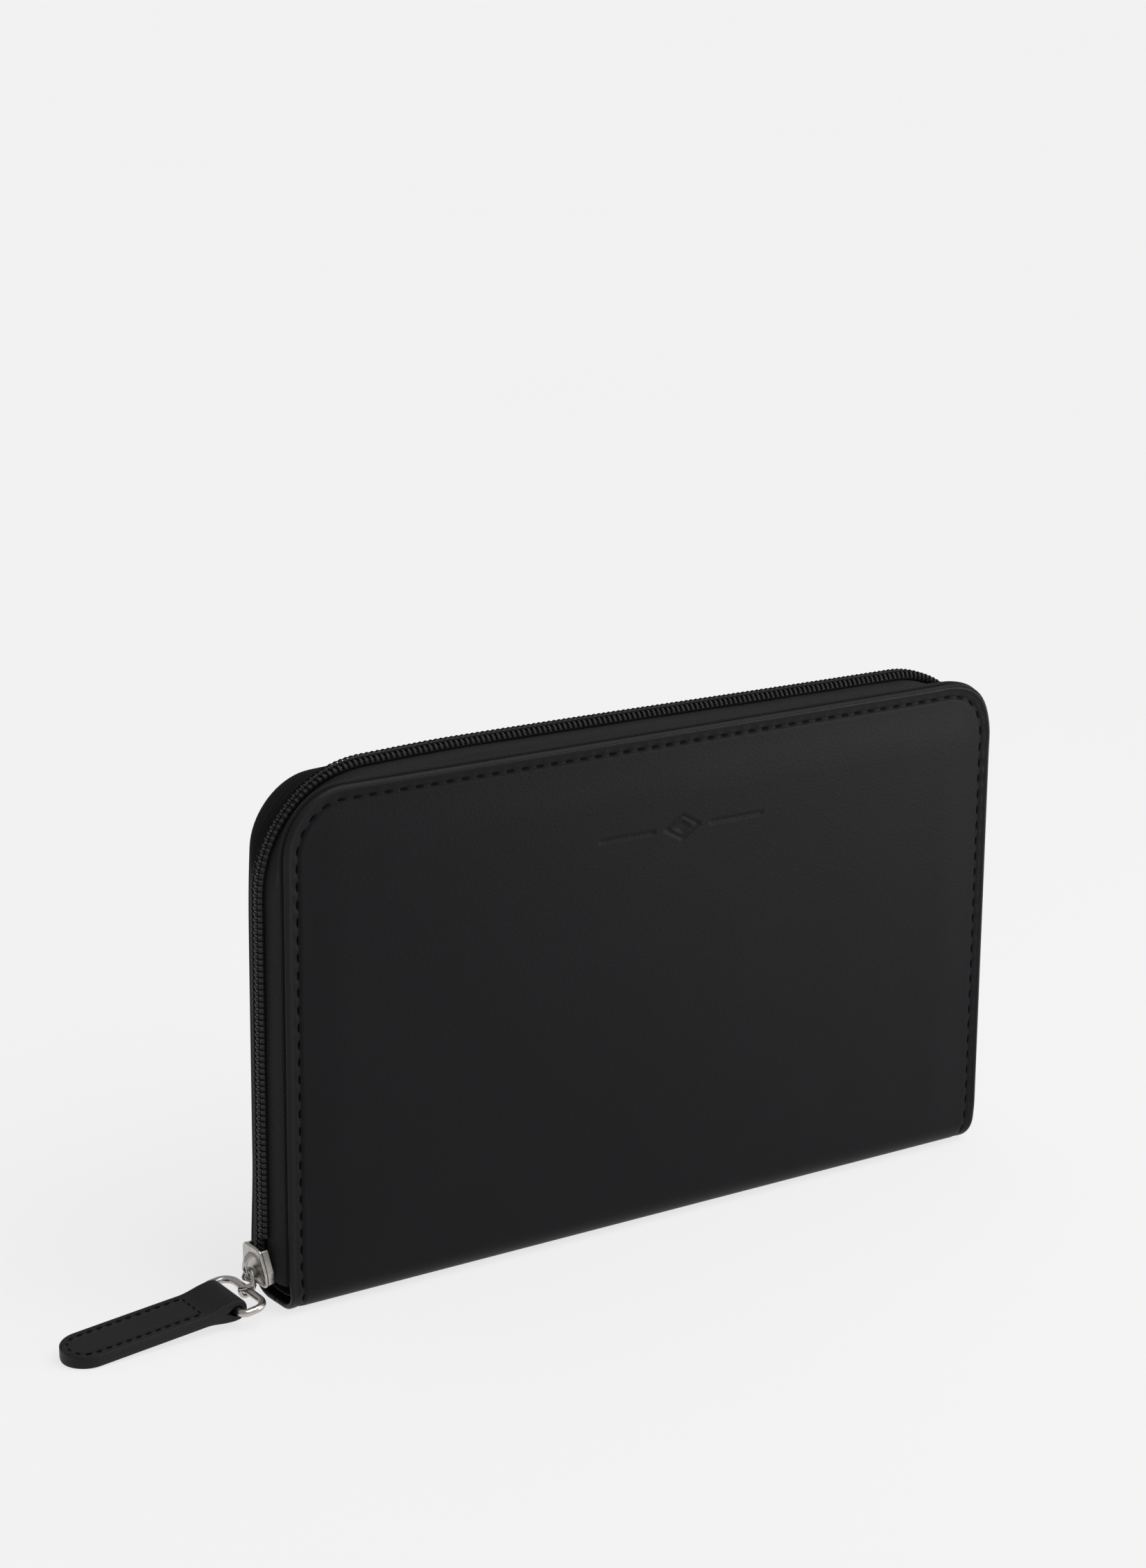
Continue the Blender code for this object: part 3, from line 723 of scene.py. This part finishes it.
def tooth_outline():
    """(n, y) of one turn of the coil: a flat loop with a rounded head and heel."""
    low, high = TOOTH_N
    head, heel = TOOTH_Y
    radius = (high - low) / 2
    middle = (high + low) / 2
    points = [(high, y) for y in np.linspace(heel, head, 4)]
    for angle in (60, 30, 0, -30, -60):
        a = math.radians(angle)
        points.append((middle + radius * math.sin(a), head - 0.62 * math.cos(a)))
    points += [(low, y) for y in np.linspace(head, heel, 3)]
    for angle in (-55, -20, 20, 55):
        a = math.radians(angle)
        points.append((middle + radius * math.sin(a), heel + 0.55 * math.cos(a)))
    return np.array(points)


def zip_coil(name, side, finish):
    """Separate turns of flattened nylon wire. Those of one side stand between the other's."""
    loop = tooth_outline()
    tangent = np.roll(loop, -1, axis=0) - np.roll(loop, 1, axis=0)
    tangent /= np.linalg.norm(tangent, axis=1)[:, None]
    normal = np.stack([tangent[:, 1], -tangent[:, 0]], -1)
    angle = np.arange(6) * math.pi / 3 + math.pi / 6
    n = loop[:, None, 0] + TOOTH_WIRE * normal[:, None, 0] * np.sin(angle)
    y = loop[:, None, 1] + TOOTH_WIRE * normal[:, None, 1] * np.sin(angle)
    slant = 0.16 * (loop[:, 1] - loop[:, 1].mean()) / loop[:, 1].max()
    across = TOOTH_WIRE * np.cos(angle)[None] + slant[:, None]
    n, y = (np.concatenate([a, a[:1]]) for a in (n, y))
    across = np.concatenate([across, across[:1]])
    pile = Pile()
    shift = 0.25 * TOOTH_PITCH * side
    first, last = COIL_START[side], RIM_LENGTH - COIL_END_GAP
    for k in range(math.ceil((first - shift) / TOOTH_PITCH), math.floor((last - shift) / TOOTH_PITCH)):
        s = k * TOOTH_PITCH + shift + across
        pile.grid(on_rim(s, n, y, side), np.stack([s, y], -1), wrap=True)
    filler_cord(pile, side, first, last)
    return pile.piece(name, finish, 80.0)


def filler_cord(pile, side, first, last):
    """The cord through the coil's turns, which reaches down to the tape."""
    s = np.arange(first, last, TOOTH_PITCH / 2)[:, None]
    turn = np.arange(8) * math.pi / 4
    n = CORD_N[0] + CORD_N[1] * np.sin(turn) + 0 * s
    y = CORD_Y[0] + CORD_Y[1] * np.cos(turn) + 0 * s
    s = s + 0 * n
    pile.grid(on_rim(s, n, y, side), np.stack([s, y], -1), wrap=True, caps=True)


def coil_stitching(name, side, finish):
    """The sewing thread that holds the coil on its tape, dipping between the turns."""
    s = np.arange(COIL_START[side] - 0.4, RIM_LENGTH - COIL_END_GAP - 0.4, TOOTH_PITCH / 5)
    shift = 0.25 * TOOTH_PITCH * side
    dip = 0.5 + 0.5 * np.cos(2 * math.pi * (s - shift) / TOOTH_PITCH)
    angle = np.arange(5) * 2 * math.pi / 5
    pile = Pile()
    n = SEWING_N + SEWING_LIFT * dip[:, None] + SEWING_THREAD[0] * np.sin(angle)
    y = SEWING_Y + SEWING_THREAD[1] * np.cos(angle) + 0 * n
    s = s[:, None] + 0 * n
    pile.grid(on_rim(s, n, y, side), np.stack([s, y], -1), wrap=True, caps=True)
    return pile.piece(name, finish, 80.0)


def end_stop(name, side, finish):
    """A moulded stop across the coil's end, on the right side near the spine."""
    pile = Pile()
    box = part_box(f"{'front' if side < 0 else 'back'}_zip_end_stop")
    low, high = (np.array(c) / MM for c in box)
    middle, size = (low + high) / 2, high - low
    outline = fillet([(middle[1] + sy * size[1] / 2, middle[2] + sz * size[2] / 2, 0.45)
                      for sy, sz in ((-1, -1), (1, -1), (1, 1), (-1, 1))])

    def place(a, b, level):
        return (level, a, b)

    slab(pile, outline, low[0], high[0], place, 0.3, 0.05)
    return pile.piece(name, finish)


# ---------------------------------------------------------------- slider, link and ring

CHAIN_X = -(HALF + CHAIN_CENTRE)


def slider_matrix():
    return np.array(Matrix.Translation((CHAIN_X, 0, SLIDER_Z)) @ Matrix.Rotation(-SLIDER_TILT, 4, "Y"))


def moved(matrix, points):
    points = np.asarray(points, float)
    return points @ matrix[:3, :3].T + matrix[:3, 3]


def slider_body(name, finish):
    """Two plates, the side flanges, the divider post and the crown over the outer plate."""
    pile = Pile()
    matrix = slider_matrix()
    half = SLIDER_HALF

    def place(out):
        return lambda a, b, level: tuple(moved(matrix, (-out * level, a, b)))

    shield = fillet([(-5.1, -half, 1.6), (5.1, -half, 1.6), (5.3, -1.2, 3.0), (3.9, half, 1.7),
                     (-3.9, half, 1.7), (-5.3, -1.2, 3.0)], 6)
    slab(pile, shield, CHANNEL_HALF, CHANNEL_HALF + PLATE, place(1), 0.38, 0.12)
    slab(pile, shield * 0.97, CHANNEL_HALF, CHANNEL_HALF + PLATE, place(-1), 0.38, 0.08)
    for hand in (-1, 1):
        flange = fillet([(hand * 3.75, -half + 0.5, 0.2), (hand * 4.9, -half + 0.7, 0.3),
                         (hand * 5.15, -1.2, 1.5), (hand * 3.8, half - 0.6, 0.3),
                         (hand * 3.1, half - 0.6, 0.2)], 4)
        slab(pile, flange, 0.55, CHANNEL_HALF + 0.4, place(1), 0.22)
    post = fillet([(-0.22, -half + 0.6, 0.15), (0.22, -half + 0.6, 0.15), (0.22, -2.0, 0.15),
                   (-0.22, -2.0, 0.15)], 3)
    slab(pile, post, -CHANNEL_HALF - 0.3, CHANNEL_HALF + 0.3, place(1), 0.05)
    angle = np.linspace(-0.12, math.pi + 0.12, 25)
    base = CHANNEL_HALF + PLATE - 0.3
    arch = np.stack([-base - CROWN_REACH * np.sin(angle), 0 * angle,
                     CROWN_HALF * np.cos(angle) + CROWN_W], -1)
    flare = 0.8 + 0.35 * np.abs(np.cos(angle)) ** 3
    section = round_section(1.0, 0.42, 14, 3.0)[None] * np.stack([flare, np.ones_like(flare)], -1)[:, None]
    sweep(pile, moved(matrix, arch), section, up=(0, 1, 0))
    return pile.piece(name, finish, 45.0)


def link_path(steps=72):
    t = np.arange(steps) * 2 * math.pi / steps
    down = (1 - np.cos(t)) / 2
    turn = math.pi / 2 * smooth((LINK_TWIST_START - np.cos(t)) / LINK_TWIST_RUN)
    side = LINK_HALF_WIDTH * np.sin(t)
    return np.stack([-LINK_LEAN * down + side * np.sin(turn), side * np.cos(turn),
                     -2 * LINK_HALF_LENGTH * down], -1)


def ring_path():
    half = RING_WIDTH / 2
    return fillet([(0, -half, RING_CORNER), (0, half, RING_CORNER), (-RING_LENGTH, half, RING_TAB_CORNER),
                   (-RING_LENGTH, -half, RING_TAB_CORNER)], 12)


def evened(path, step):
    """The same closed path with its points at even distances."""
    path = np.concatenate([path, path[:1]])
    length = distances(path)
    count = round(length[-1] / step)
    at = np.arange(count) * length[-1] / count
    return np.stack([np.interp(at, length, path[:, k]) for k in range(path.shape[1])], -1)


def pull_matrices():
    """Where the link, the ring and the tab sit, as in the CAD."""
    tilt = Matrix.Rotation(-SLIDER_TILT, 4, "Y")
    hook = Vector((-(CHANNEL_HALF + PLATE + 0.95), 0, CROWN_W - 0.6))
    link = Vector((CHAIN_X, 0, SLIDER_Z)) + tilt @ hook
    rise = 2 * LINK_HALF_LENGTH - LINK_WIRE - RING_WIRE - 0.3
    turn = Matrix.Rotation(PULL_YAW, 4, "Z") @ Matrix.Rotation(PULL_ROLL, 4, "X")
    ring_turn = turn @ Matrix.Rotation(-RING_PITCH, 4, "Y")
    ring = link + Vector((-LINK_LEAN, RING_Y, -rise))
    tab = ring + ring_turn @ Vector((-RING_LENGTH, 0, 0))
    tab_turn = turn @ Matrix.Rotation(-TAB_PITCH, 4, "Y")
    return (np.array(Matrix.Translation(link)), np.array(Matrix.Translation(ring) @ ring_turn),
            np.array(Matrix.Translation(tab) @ tab_turn))


def wire_loop(name, path, radius, matrix, finish, sides=16):
    pile = Pile()
    sweep(pile, moved(matrix, path), round_section(radius, sides=sides), closed=True)
    return pile.piece(name, finish, 80.0)


# ---------------------------------------------------------------- the pull tab

def tab_faces(x):
    """The upper layer's hidden and seen faces. The layers meet along the tongue, and part only
    near the ring."""
    head = HEAD_CENTRELINE + TAB_HEAD_LAYER / 2
    hidden = -0.03 + (head - TAB_HEAD_LAYER + 0.03) * smooth((x + HEAD_SLIT) / (HEAD_SLIT - 0.6))
    return hidden, TAB_FACE + (head - TAB_FACE) * smooth((x + HEAD_RISE) / (HEAD_RISE - 0.6))


def tab_path():
    """The folded strap's middle line, from the lower layer's tip round the head to the upper's."""
    tip = -TAB_LENGTH + TAB_HALF
    ends = tip - TAB_HALF * np.sin(np.linspace(math.pi / 2, 0, 14))
    straight = spans(tip, (-HEAD_RISE, 1.2), (-0.6, 0.6))[1:]
    x = np.concatenate([ends, straight])
    z = sum(tab_faces(x)) / 2
    angle = np.radians(np.arange(-75, 76, 15))
    head = np.stack([HEAD_CENTRELINE * np.cos(angle), HEAD_CENTRELINE * np.sin(angle)], -1)
    lower, upper = np.stack([x, -z], -1), np.stack([x, z], -1)[::-1]
    return np.concatenate([lower, head, upper])


def tab_half_width(x):
    inside = np.clip((x + TAB_LENGTH - TAB_HALF) / TAB_HALF, -1, 0)
    return TAB_HALF * np.sqrt(np.clip(1 - inside ** 2, 0, 1)) - 0.12 * smooth((x + 12) / 8)


def tab_leather(name, matrix, finish):
    """Each section is a strip with rounded edges, a stitch groove and a raised middle."""
    path = tab_path()
    out = flat_normals(path)
    half = tab_half_width(path[:, 0])
    hidden, seen = tab_faces(np.minimum(path[:, 0], -0.6))
    thick = (seen - hidden) / 2
    edge = 0.5
    insets = np.array([0.0, 0.05, 0.18, 0.42, 0.8, 1.3, 1.6, 1.85, 2.1, 2.5, 3.4, 5.0])
    drop = edge * (1 - np.sqrt(np.clip(1 - (1 - insets / 0.42).clip(0, 1) ** 2, 0, 1)))
    flat_run = smooth((-path[:, 0] - 8.0) / 2.0)
    rows = []
    for i, (p, o, w, t) in enumerate(zip(path, out, half, thick)):
        share = min(1.0, w / 3.0)
        groove = 0.2 * flat_run[i] * np.exp(-((insets - 1.85) / 0.33) ** 2)
        level = t - drop * share - groove * share
        y = np.maximum(w - insets * (w / max(w, 5.2)), 0.0)
        upper = np.stack([y, level], -1)
        crown = upper[::-1] * (-1, 1)
        under = np.stack([-y, -t + 0 * y], -1)
        closing = under[::-1] * (-1, 1)
        section = np.concatenate([upper, crown, under, closing])
        rows.append([(p[0] + o[0] * b, a, p[1] + o[1] * b) for a, b in section])
    points = np.array(rows)
    length = distances(path)
    uv = np.stack(np.broadcast_arrays(length[:, None], points[len(path) // 3, :, 1][None]), -1)
    pile = Pile()
    pile.grid(moved(matrix, points), uv, wrap=True, caps=True)
    return pile.piece(name, finish, 55.0)


def tab_seam(name, matrix, finish):
    """Stitches down both sides and round the tip, and one row across below the head."""
    inset, start, pitch = 1.85, -9.0, 2.6
    run = TAB_LENGTH - TAB_HALF + start
    radius = TAB_HALF - inset
    total = 2 * run + math.pi * radius
    count = round(total / pitch)
    level = TAB_FACE - 0.1

    def outline(s):
        angle = np.clip((s - run) / radius, 0, math.pi)
        x = start - np.minimum(s, run) - radius * np.sin(angle) + np.maximum(s - run - math.pi * radius, 0)
        return x, radius * np.cos(angle)

    def along(s, d, h):
        x, y = outline(s)
        ahead, beside = outline(s + 0.05)
        tx, ty = (ahead - x) / 0.05, (beside - y) / 0.05
        return moved(matrix, np.stack([x - ty * d, y + tx * d, level + h], -1))

    def across(s, d, h):
        return moved(matrix, np.stack([start + d, s, level + h + 0 * s], -1))

    pile = Pile()
    for i in range(count):
        stitch(pile, ((i + 0.5) * total / count, 0, 0.0), 1.8, 0.3, along, 0.05)
    rows = round(2 * radius / pitch)
    for i in range(rows):
        stitch(pile, (-radius + (i + 0.5) * 2 * radius / rows, 0, 0.0), 1.8, 0.3, across, 0.05)
    return pile.piece(name, finish, 80.0)


# ---------------------------------------------------------------- the inside


def panel_outline(inset, bottom, corner_low=2.0, steps=10, round_top=CORNER):
    radius = max(round_top - inset, 1.0)
    edge, top = HALF - inset, HEIGHT - inset
    return fillet([(-edge, bottom, corner_low), (edge, bottom, corner_low), (edge, top, radius),
                   (-edge, top, radius)], steps)


def stacked(pile, rings, side):
    """Closes a stack of flat outlines, given as (outline, y) from one face to the other."""
    points = np.array([np.stack([o[:, 0], side * y + 0 * o[:, 0], o[:, 1]], -1) for o, y in rings])
    points = formed(points, side)
    uv = np.stack([points[..., 0], points[..., 2]], -1)
    pile.grid(points, uv, wrap=True, caps=True)


def lining(name, side, finish):
    """The cover's lining: a flat field whose edges turn down on to the zip tape."""
    pile = Pile()
    bottom = 9.0
    rings = []
    profile = ((3.4, 7.45), (3.4, 7.25), (3.55, 6.2), (3.8, 5.5), (4.3, 5.02), (5.2, 4.86), (7.0, 4.85))
    for inset, y in profile:
        rings.append((panel_outline(inset, bottom + 0.3 * (inset - 3.4), round_top=ZIP_CORNER), y))
    under = []
    for inset, low, y in ((3.9, 0.3, 7.45), (4.1, 0.3, 6.2), (4.5, 0.4, 5.4), (5.4, 0.6, 5.26)):
        under.append((panel_outline(inset, bottom + low, round_top=ZIP_CORNER), y))
    stacked(pile, under[::-1] + rings, side)
    return pile.piece(name, finish, 50.0)


def foam_pad(name, side, finish):
    """The sheet of foam under the leather: crowned, with edges that thin out."""
    pile = Pile()
    outer, inner = COVER_FACE - LEATHER - 0.12, COVER_FACE - LEATHER - 1.3
    profile = ((5.2, inner), (4.7, inner + 0.15), (4.6, inner + 0.4), (5.0, outer - 0.35),
               (6.2, outer - 0.12), (9.0, outer))
    rings = [(panel_outline(inset, 9.0 + inset - 4.6), y) for inset, y in profile]
    stacked(pile, rings, side)
    return pile.piece(name, finish, 60.0)


def pocket_sheet(pile, outline, y_at, thickness, edge=0.14):
    """A pocket's sheet. y_at gives the depth of its hidden face at a height, and a negative
    thickness takes its seen face the other way."""
    middle = outline.mean(axis=0)
    rows = []
    levels = ((0.7, 0.0), (edge, 0.0), (0.03, 0.25), (0.0, 0.5), (0.03, 0.75), (edge, 1.0), (0.7, 1.0))
    for inset, level in levels:
        ring = outline + (middle - outline) * inset / np.linalg.norm(middle - outline, axis=1)[:, None]
        rows.append([(a, y_at(b) + level * thickness, b) for a, b in ring])
    points = np.array(rows)
    pile.grid(points, np.stack([points[..., 0], points[..., 2]], -1), wrap=True, caps=True)


def notched(left, right, bottom, top, notch):
    """A pocket's outline with a half-round thumb notch in its top edge."""
    middle = (left + right) / 2
    angles = np.radians(np.linspace(180, 360, 25))
    notch_points = np.stack([middle + notch * np.cos(angles), top + notch * np.sin(angles)], -1)
    head = [(left, bottom), (left, top - 1.0), (left + 0.3, top - 0.3), (left + 1.0, top)]
    tail = [(right - 1.0, top), (right - 0.3, top - 0.3), (right, top - 1.0), (right, bottom)]
    return np.concatenate([head, notch_points, tail])


def flat_stitches(pile, line, y_at, way, pitch=2.8, radius=0.17):
    """Stitches along a bent line of (x, z) points on a sheet whose face is at y_at(z) and
    looks towards way along Y."""
    line = np.asarray(line, float)
    length = distances(line)

    def to_point(s, d, h):
        x, z = np.interp(s, length, line[:, 0]), np.interp(s, length, line[:, 1])
        ahead_x, ahead_z = np.interp(s + 0.1, length, line[:, 0]), np.interp(s + 0.1, length, line[:, 1])
        back_x, back_z = np.interp(s - 0.1, length, line[:, 0]), np.interp(s - 0.1, length, line[:, 1])
        tx, tz = ahead_x - back_x, ahead_z - back_z
        size = np.maximum(np.hypot(tx, tz), 1e-6)
        x, z = x - tz / size * d, z + tx / size * d
        return np.stack([x, y_at(z) + h * way, z], -1)

    count = int(length[-1] / pitch)
    for i in range(count):
        stitch(pile, ((i + 0.5) * length[-1] / count, 0.0, 0.02), 1.9, radius, to_point)


def pocket(name, side, outline, depth, leather, thread, body):
    """A leather pocket panel with its sewn edges, in front of the lining."""
    pile = Pile()
    pocket_sheet(pile, outline, lambda z: side * (depth + 0.4) + 0 * z, -0.42 * side)
    obj = pile.piece(f"{name}_leather", leather, 60.0)
    low, high = outline.min(axis=0), outline.max(axis=0)
    seam = Pile()
    inset = 1.4
    line = [(low[0] + inset, high[1] - 2), (low[0] + inset, low[1] + inset),
            (high[0] - inset, low[1] + inset), (high[0] - inset, high[1] - 2)]
    flat_stitches(seam, line, lambda z: side * depth + 0 * z, -side)
    stand_in(obj, "leather", body, name)
    stand_in(seam.piece(f"{name}_stitches", thread, 80.0), "thread", body)


POCKET_MARGIN = 5.0
POCKET_BOTTOM = 10.0
POCKET_DEPTH = 4.55
PASSPORT_WIDTH = 92.0
CARD_WIDTH = 92.0
CARD_LEAF = 26.0
CARD_PITCH = 20.0
CARD_RISE = 0.75
CARD_FIRST = 14.0
CARD_COLUMN_X = 50.0


def card_leaf(name, centre, row, depth, leather, thread):
    """One card slot's leaf, which leans over the one above it."""
    bottom = CARD_FIRST + row * CARD_PITCH
    half = CARD_WIDTH / 2

    def face(z):
        return depth - CARD_RISE * (z - bottom) / CARD_PITCH

    outline = fillet([(centre - half, bottom, 1.0), (centre + half, bottom, 1.0),
                      (centre + half, bottom + CARD_LEAF, 2.2), (centre - half, bottom + CARD_LEAF, 2.2)], 4)
    pile = Pile()
    pocket_sheet(pile, outline, face, -0.4)
    obj = pile.piece(f"{name}_leather", leather, 60.0)
    seam = Pile()
    top = bottom + CARD_LEAF - 1.5
    across = [(centre - half + 1.5, top), (centre + half - 1.5, top)]
    flat_stitches(seam, across, lambda z: face(z) - 0.4, -1)
    for x in (centre - half + 1.3, centre + half - 1.3):
        flat_stitches(seam, [(x, bottom + 1.5), (x, top)], lambda z: face(z) - 0.4, -1)
    stand_in(obj, "leather", "back_half", name)
    stand_in(seam.piece(f"{name}_stitches", thread, 80.0), "thread", "back_half")


def spine_lining(name, side, finish):
    """Half of the cloth that lines the spine, up to the cover's lining."""
    line = rounded_line([(0.0, 3.0), (1.6, 3.0), (3.3, 3.15), (4.9, 3.75), (6.1, 5.0), (6.45, 6.6),
                         (6.0, 8.2), (5.6, 9.6)], 4)
    under = line + 0.36 * flat_normals(line)
    section = np.concatenate([line, under[::-1]])
    x = spans(-HALF + 3.0, (HALF - 3.0, 2.5))
    slack = 0.06 * np.sin(x / 6.1)
    y = section[None, :, 0] + 0 * x[:, None]
    z = section[None, :, 1] + slack[:, None] * (section[None, :, 1] < 7)
    points = np.stack(np.broadcast_arrays(x[:, None], side * y, z), -1)
    width = distances(section)
    uv = np.stack(np.broadcast_arrays(x[:, None], width[None]), -1)
    pile = Pile()
    pile.grid(points, uv, wrap=True, caps=True)
    return pile.piece(name, finish, 60.0)


# ---------------------------------------------------------------- the scene

def stand_in(piece, slot, body, *nodes):
    """The piece's material slot, which is not used; the body that it rides on, when one is given; and its
    CAD nodes, which it hides.
    """
    if body:
        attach(piece, body)
    if nodes:
        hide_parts(*nodes)


def blend_over_fold(obj, side, half_body):
    """Bakes the piece's transform into its mesh."""
    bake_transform(obj)


def add_camera():
    yaw, pitch, roll = CAMERA_YAW, CAMERA_PITCH, CAMERA_ROLL
    forward = Vector((math.sin(yaw) * math.cos(pitch), math.cos(yaw) * math.cos(pitch), -math.sin(pitch)))
    right = Vector((math.cos(yaw), -math.sin(yaw), 0))
    down = forward.cross(right)
    across = math.cos(roll) * right + math.sin(roll) * down
    descent = -math.sin(roll) * right + math.cos(roll) * down
    data = bpy.data.cameras.new("camera")
    data.sensor_fit = "VERTICAL"
    data.sensor_height = SENSOR
    data.lens = CAMERA_LENS
    camera = bpy.data.objects.new("camera", data)
    bpy.context.scene.collection.objects.link(camera)
    turn = Matrix((across, -descent, -forward)).transposed().to_4x4()
    camera.matrix_world = Matrix.Translation(Vector(CAMERA_PLACE) * MM) @ turn
    bpy.context.scene.camera = camera


def add_area(name, place, target, size, power, colour=(1, 1, 1)):
    data = bpy.data.lights.new(name, "AREA")
    data.shape = "RECTANGLE"
    data.size, data.size_y = size
    data.energy = power
    data.color = colour
    light = bpy.data.objects.new(name, data)
    bpy.context.scene.collection.objects.link(light)
    way = Vector(target) - Vector(place)
    light.matrix_world = Matrix.Translation(place) @ way.to_track_quat("-Z", "Y").to_matrix().to_4x4()


def add_floor():
    """A wide pale floor, faintly mottled, that lies just under the object. Part of its light is
    its own, so that the shadows on it stay as faint as on a lit table."""
    n = Nodes("studio_floor")
    here = n.add("ShaderNodeTexCoord").outputs["Object"]
    mottle = n.noise(here, 3.0, 2.0)
    finish = n.finish(Base_Color=n.mix(mottle, FLOOR_DARK, FLOOR_LIGHT), Roughness=0.9,
                      Specular_IOR_Level=0.0, Emission_Color=(1.0, 1.0, 1.0, 1.0),
                      Emission_Strength=FLOOR_GLOW)
    corners = [(x * FLOOR_SIZE, y * FLOOR_SIZE, FLOOR_Z) for x, y in ((-1, -1), (1, -1), (1, 1), (-1, 1))]
    floor = make_piece("floor", corners, [(0, 1, 2, 3)], finish, flip_check=False)


def add_light():
    world = bpy.data.worlds.new("studio")
    world.use_nodes = True
    world.node_tree.nodes["Background"].inputs["Color"].default_value = (*WORLD, 1)
    world.node_tree.nodes["Background"].inputs["Strength"].default_value = 1.0
    bpy.context.scene.world = world
    bpy.context.scene.view_settings.view_transform = "Standard"
    add_area("side", (0.40, -0.38, 0.12), (0.1, 0, 0.05), (0.25, 0.14), 1.2)
    sun = bpy.data.lights.new("overhead", "SUN")
    sun.energy = 1.5
    sun.angle = math.radians(50)
    lamp = bpy.data.objects.new("overhead", sun)
    lamp.rotation_euler = (math.radians(25), math.radians(20), 0)
    bpy.context.scene.collection.objects.link(lamp)


def main():
    # The cover leather's rim colour is a painted highlight along its edge.
    leather = leather_material("black_leather", (0.0034, 0.0033, 0.0042), (0.0054, 0.0052, 0.0064),
                               rim=(0.0125, 0.0122, 0.0135))
    tab_finish = leather_material("black_tab_leather", (0.008, 0.0077, 0.009), (0.012, 0.0115, 0.013), 1.3,
                                  specular=0.16)
    inner_leather = leather_material("black_pocket_leather", (0.010, 0.0095, 0.010), (0.016, 0.015, 0.016),
                                     1.5, (0.5, 0.62))
    tape = weave_material("woven_tape", (0.003, 0.003, 0.003), (0.010, 0.010, 0.010), 0.42, 0.11, 0.8)
    cloth = weave_material("lining_cloth", (0.006, 0.006, 0.007), (0.02, 0.02, 0.022), 0.38, 0.08, 0.8,
                           math.radians(45))
    nylon = plastic_material("nylon_coil", (0.010, 0.010, 0.010), 0.38)
    # The nickel's dark and light colours are painted reflections.
    nickel = metal_material("nickel", (0.34, 0.32, 0.30), (0.62, 0.60, 0.575), 0.2)
    thread = thread_material("black_thread", (0.0012, 0.0012, 0.0012))
    foam = grained_material("black_foam", (0.014, 0.014, 0.014), (0.028, 0.028, 0.028), 900.0, 0.2)
    board = grained_material("black_board", (0.012, 0.0115, 0.011), (0.024, 0.023, 0.022), 500.0, 0.05)

    for node in ("front_stiffener_board", "back_stiffener_board", "spine_reinforcement"):
        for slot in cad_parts[node].material_slots:
            slot.material = board

    for side, label in ((-1, "front"), (1, "back")):
        body = f"{label}_half"
        panel = cover_leather(f"{label}_leather", side, leather, side < 0)
        stand_in(panel, "leather", None, f"{label}_cover_leather", "spine_leather")
        seam = cover_seam(f"{label}_seam_stitches", side, thread)
        stand_in(seam, "thread", None, f"{label}_edge_seam")
        spine = spine_lining(f"{label}_spine_lining", side, cloth)
        stand_in(spine, "lining", None, "spine_lining")
        for piece in (panel, seam, spine):
            blend_over_fold(piece, side, body)
        field = lining(f"{label}_lining_cloth", side, cloth)
        stand_in(field, "lining", body, f"{label}_lining")
        pad = foam_pad(f"{label}_foam_pad", side, foam)
        stand_in(pad, "foam", body, f"{label}_foam_padding")
        stand_in(zip_tape(f"{label}_tape", side, tape), "zip_tape", body, f"{label}_zip_tape")
        stand_in(zip_coil(f"{label}_coil", side, nylon), "zip_coil", body, f"{label}_zip_coil")
        stand_in(coil_stitching(f"{label}_coil_stitching", side, thread), "thread", body)
        stand_in(end_stop(f"{label}_end_stop", side, nylon), "zip_coil", body, f"{label}_zip_end_stop")

    edge = HALF - POCKET_MARGIN
    pockets = (("boarding_pass_pocket", -1, edge, 88.0, 11.0, 0.4, "front_half"),
               ("passport_pocket", -1, -edge + PASSPORT_WIDTH, 70.0, 9.0, 1.1, "front_half"),
               ("slip_pocket", 1, edge, 96.0, 11.0, 0.4, "back_half"))
    for name, side, right, top, notch, lift, body in pockets:
        outline = notched(-edge, right, POCKET_BOTTOM, top, notch)
        pocket(name, side, outline, POCKET_DEPTH - lift, inner_leather, thread, body)
    for label, centre in (("left", -CARD_COLUMN_X), ("right", CARD_COLUMN_X)):
        for row in range(3):
            card_leaf(f"card_slot_{label}_{row + 1}", centre, row, POCKET_DEPTH - 0.7, inner_leather, thread)

    link_at, ring_at, tab_at = pull_matrices()
    stand_in(slider_body("slider_body", nickel), "metal", "slider", "zip_slider")
    link = wire_loop("link_wire", link_path(), LINK_WIRE, link_at, nickel, 12)
    stand_in(link, "metal", "link", "puller_link")
    loop = evened(ring_path(), 0.5)
    loop = np.stack([loop[:, 0], loop[:, 1], 0 * loop[:, 0]], -1)
    stand_in(wire_loop("ring_wire", loop, RING_WIRE, ring_at, nickel), "metal", "ring", "pull_ring")
    stand_in(tab_leather("tab_strap", tab_at, tab_finish), "leather", "pull_tab", "pull_tab_leather")
    stand_in(tab_seam("tab_stitches", tab_at, thread), "thread", "pull_tab", "pull_tab_seam")

    add_camera()
    add_floor()
    add_light()


main()
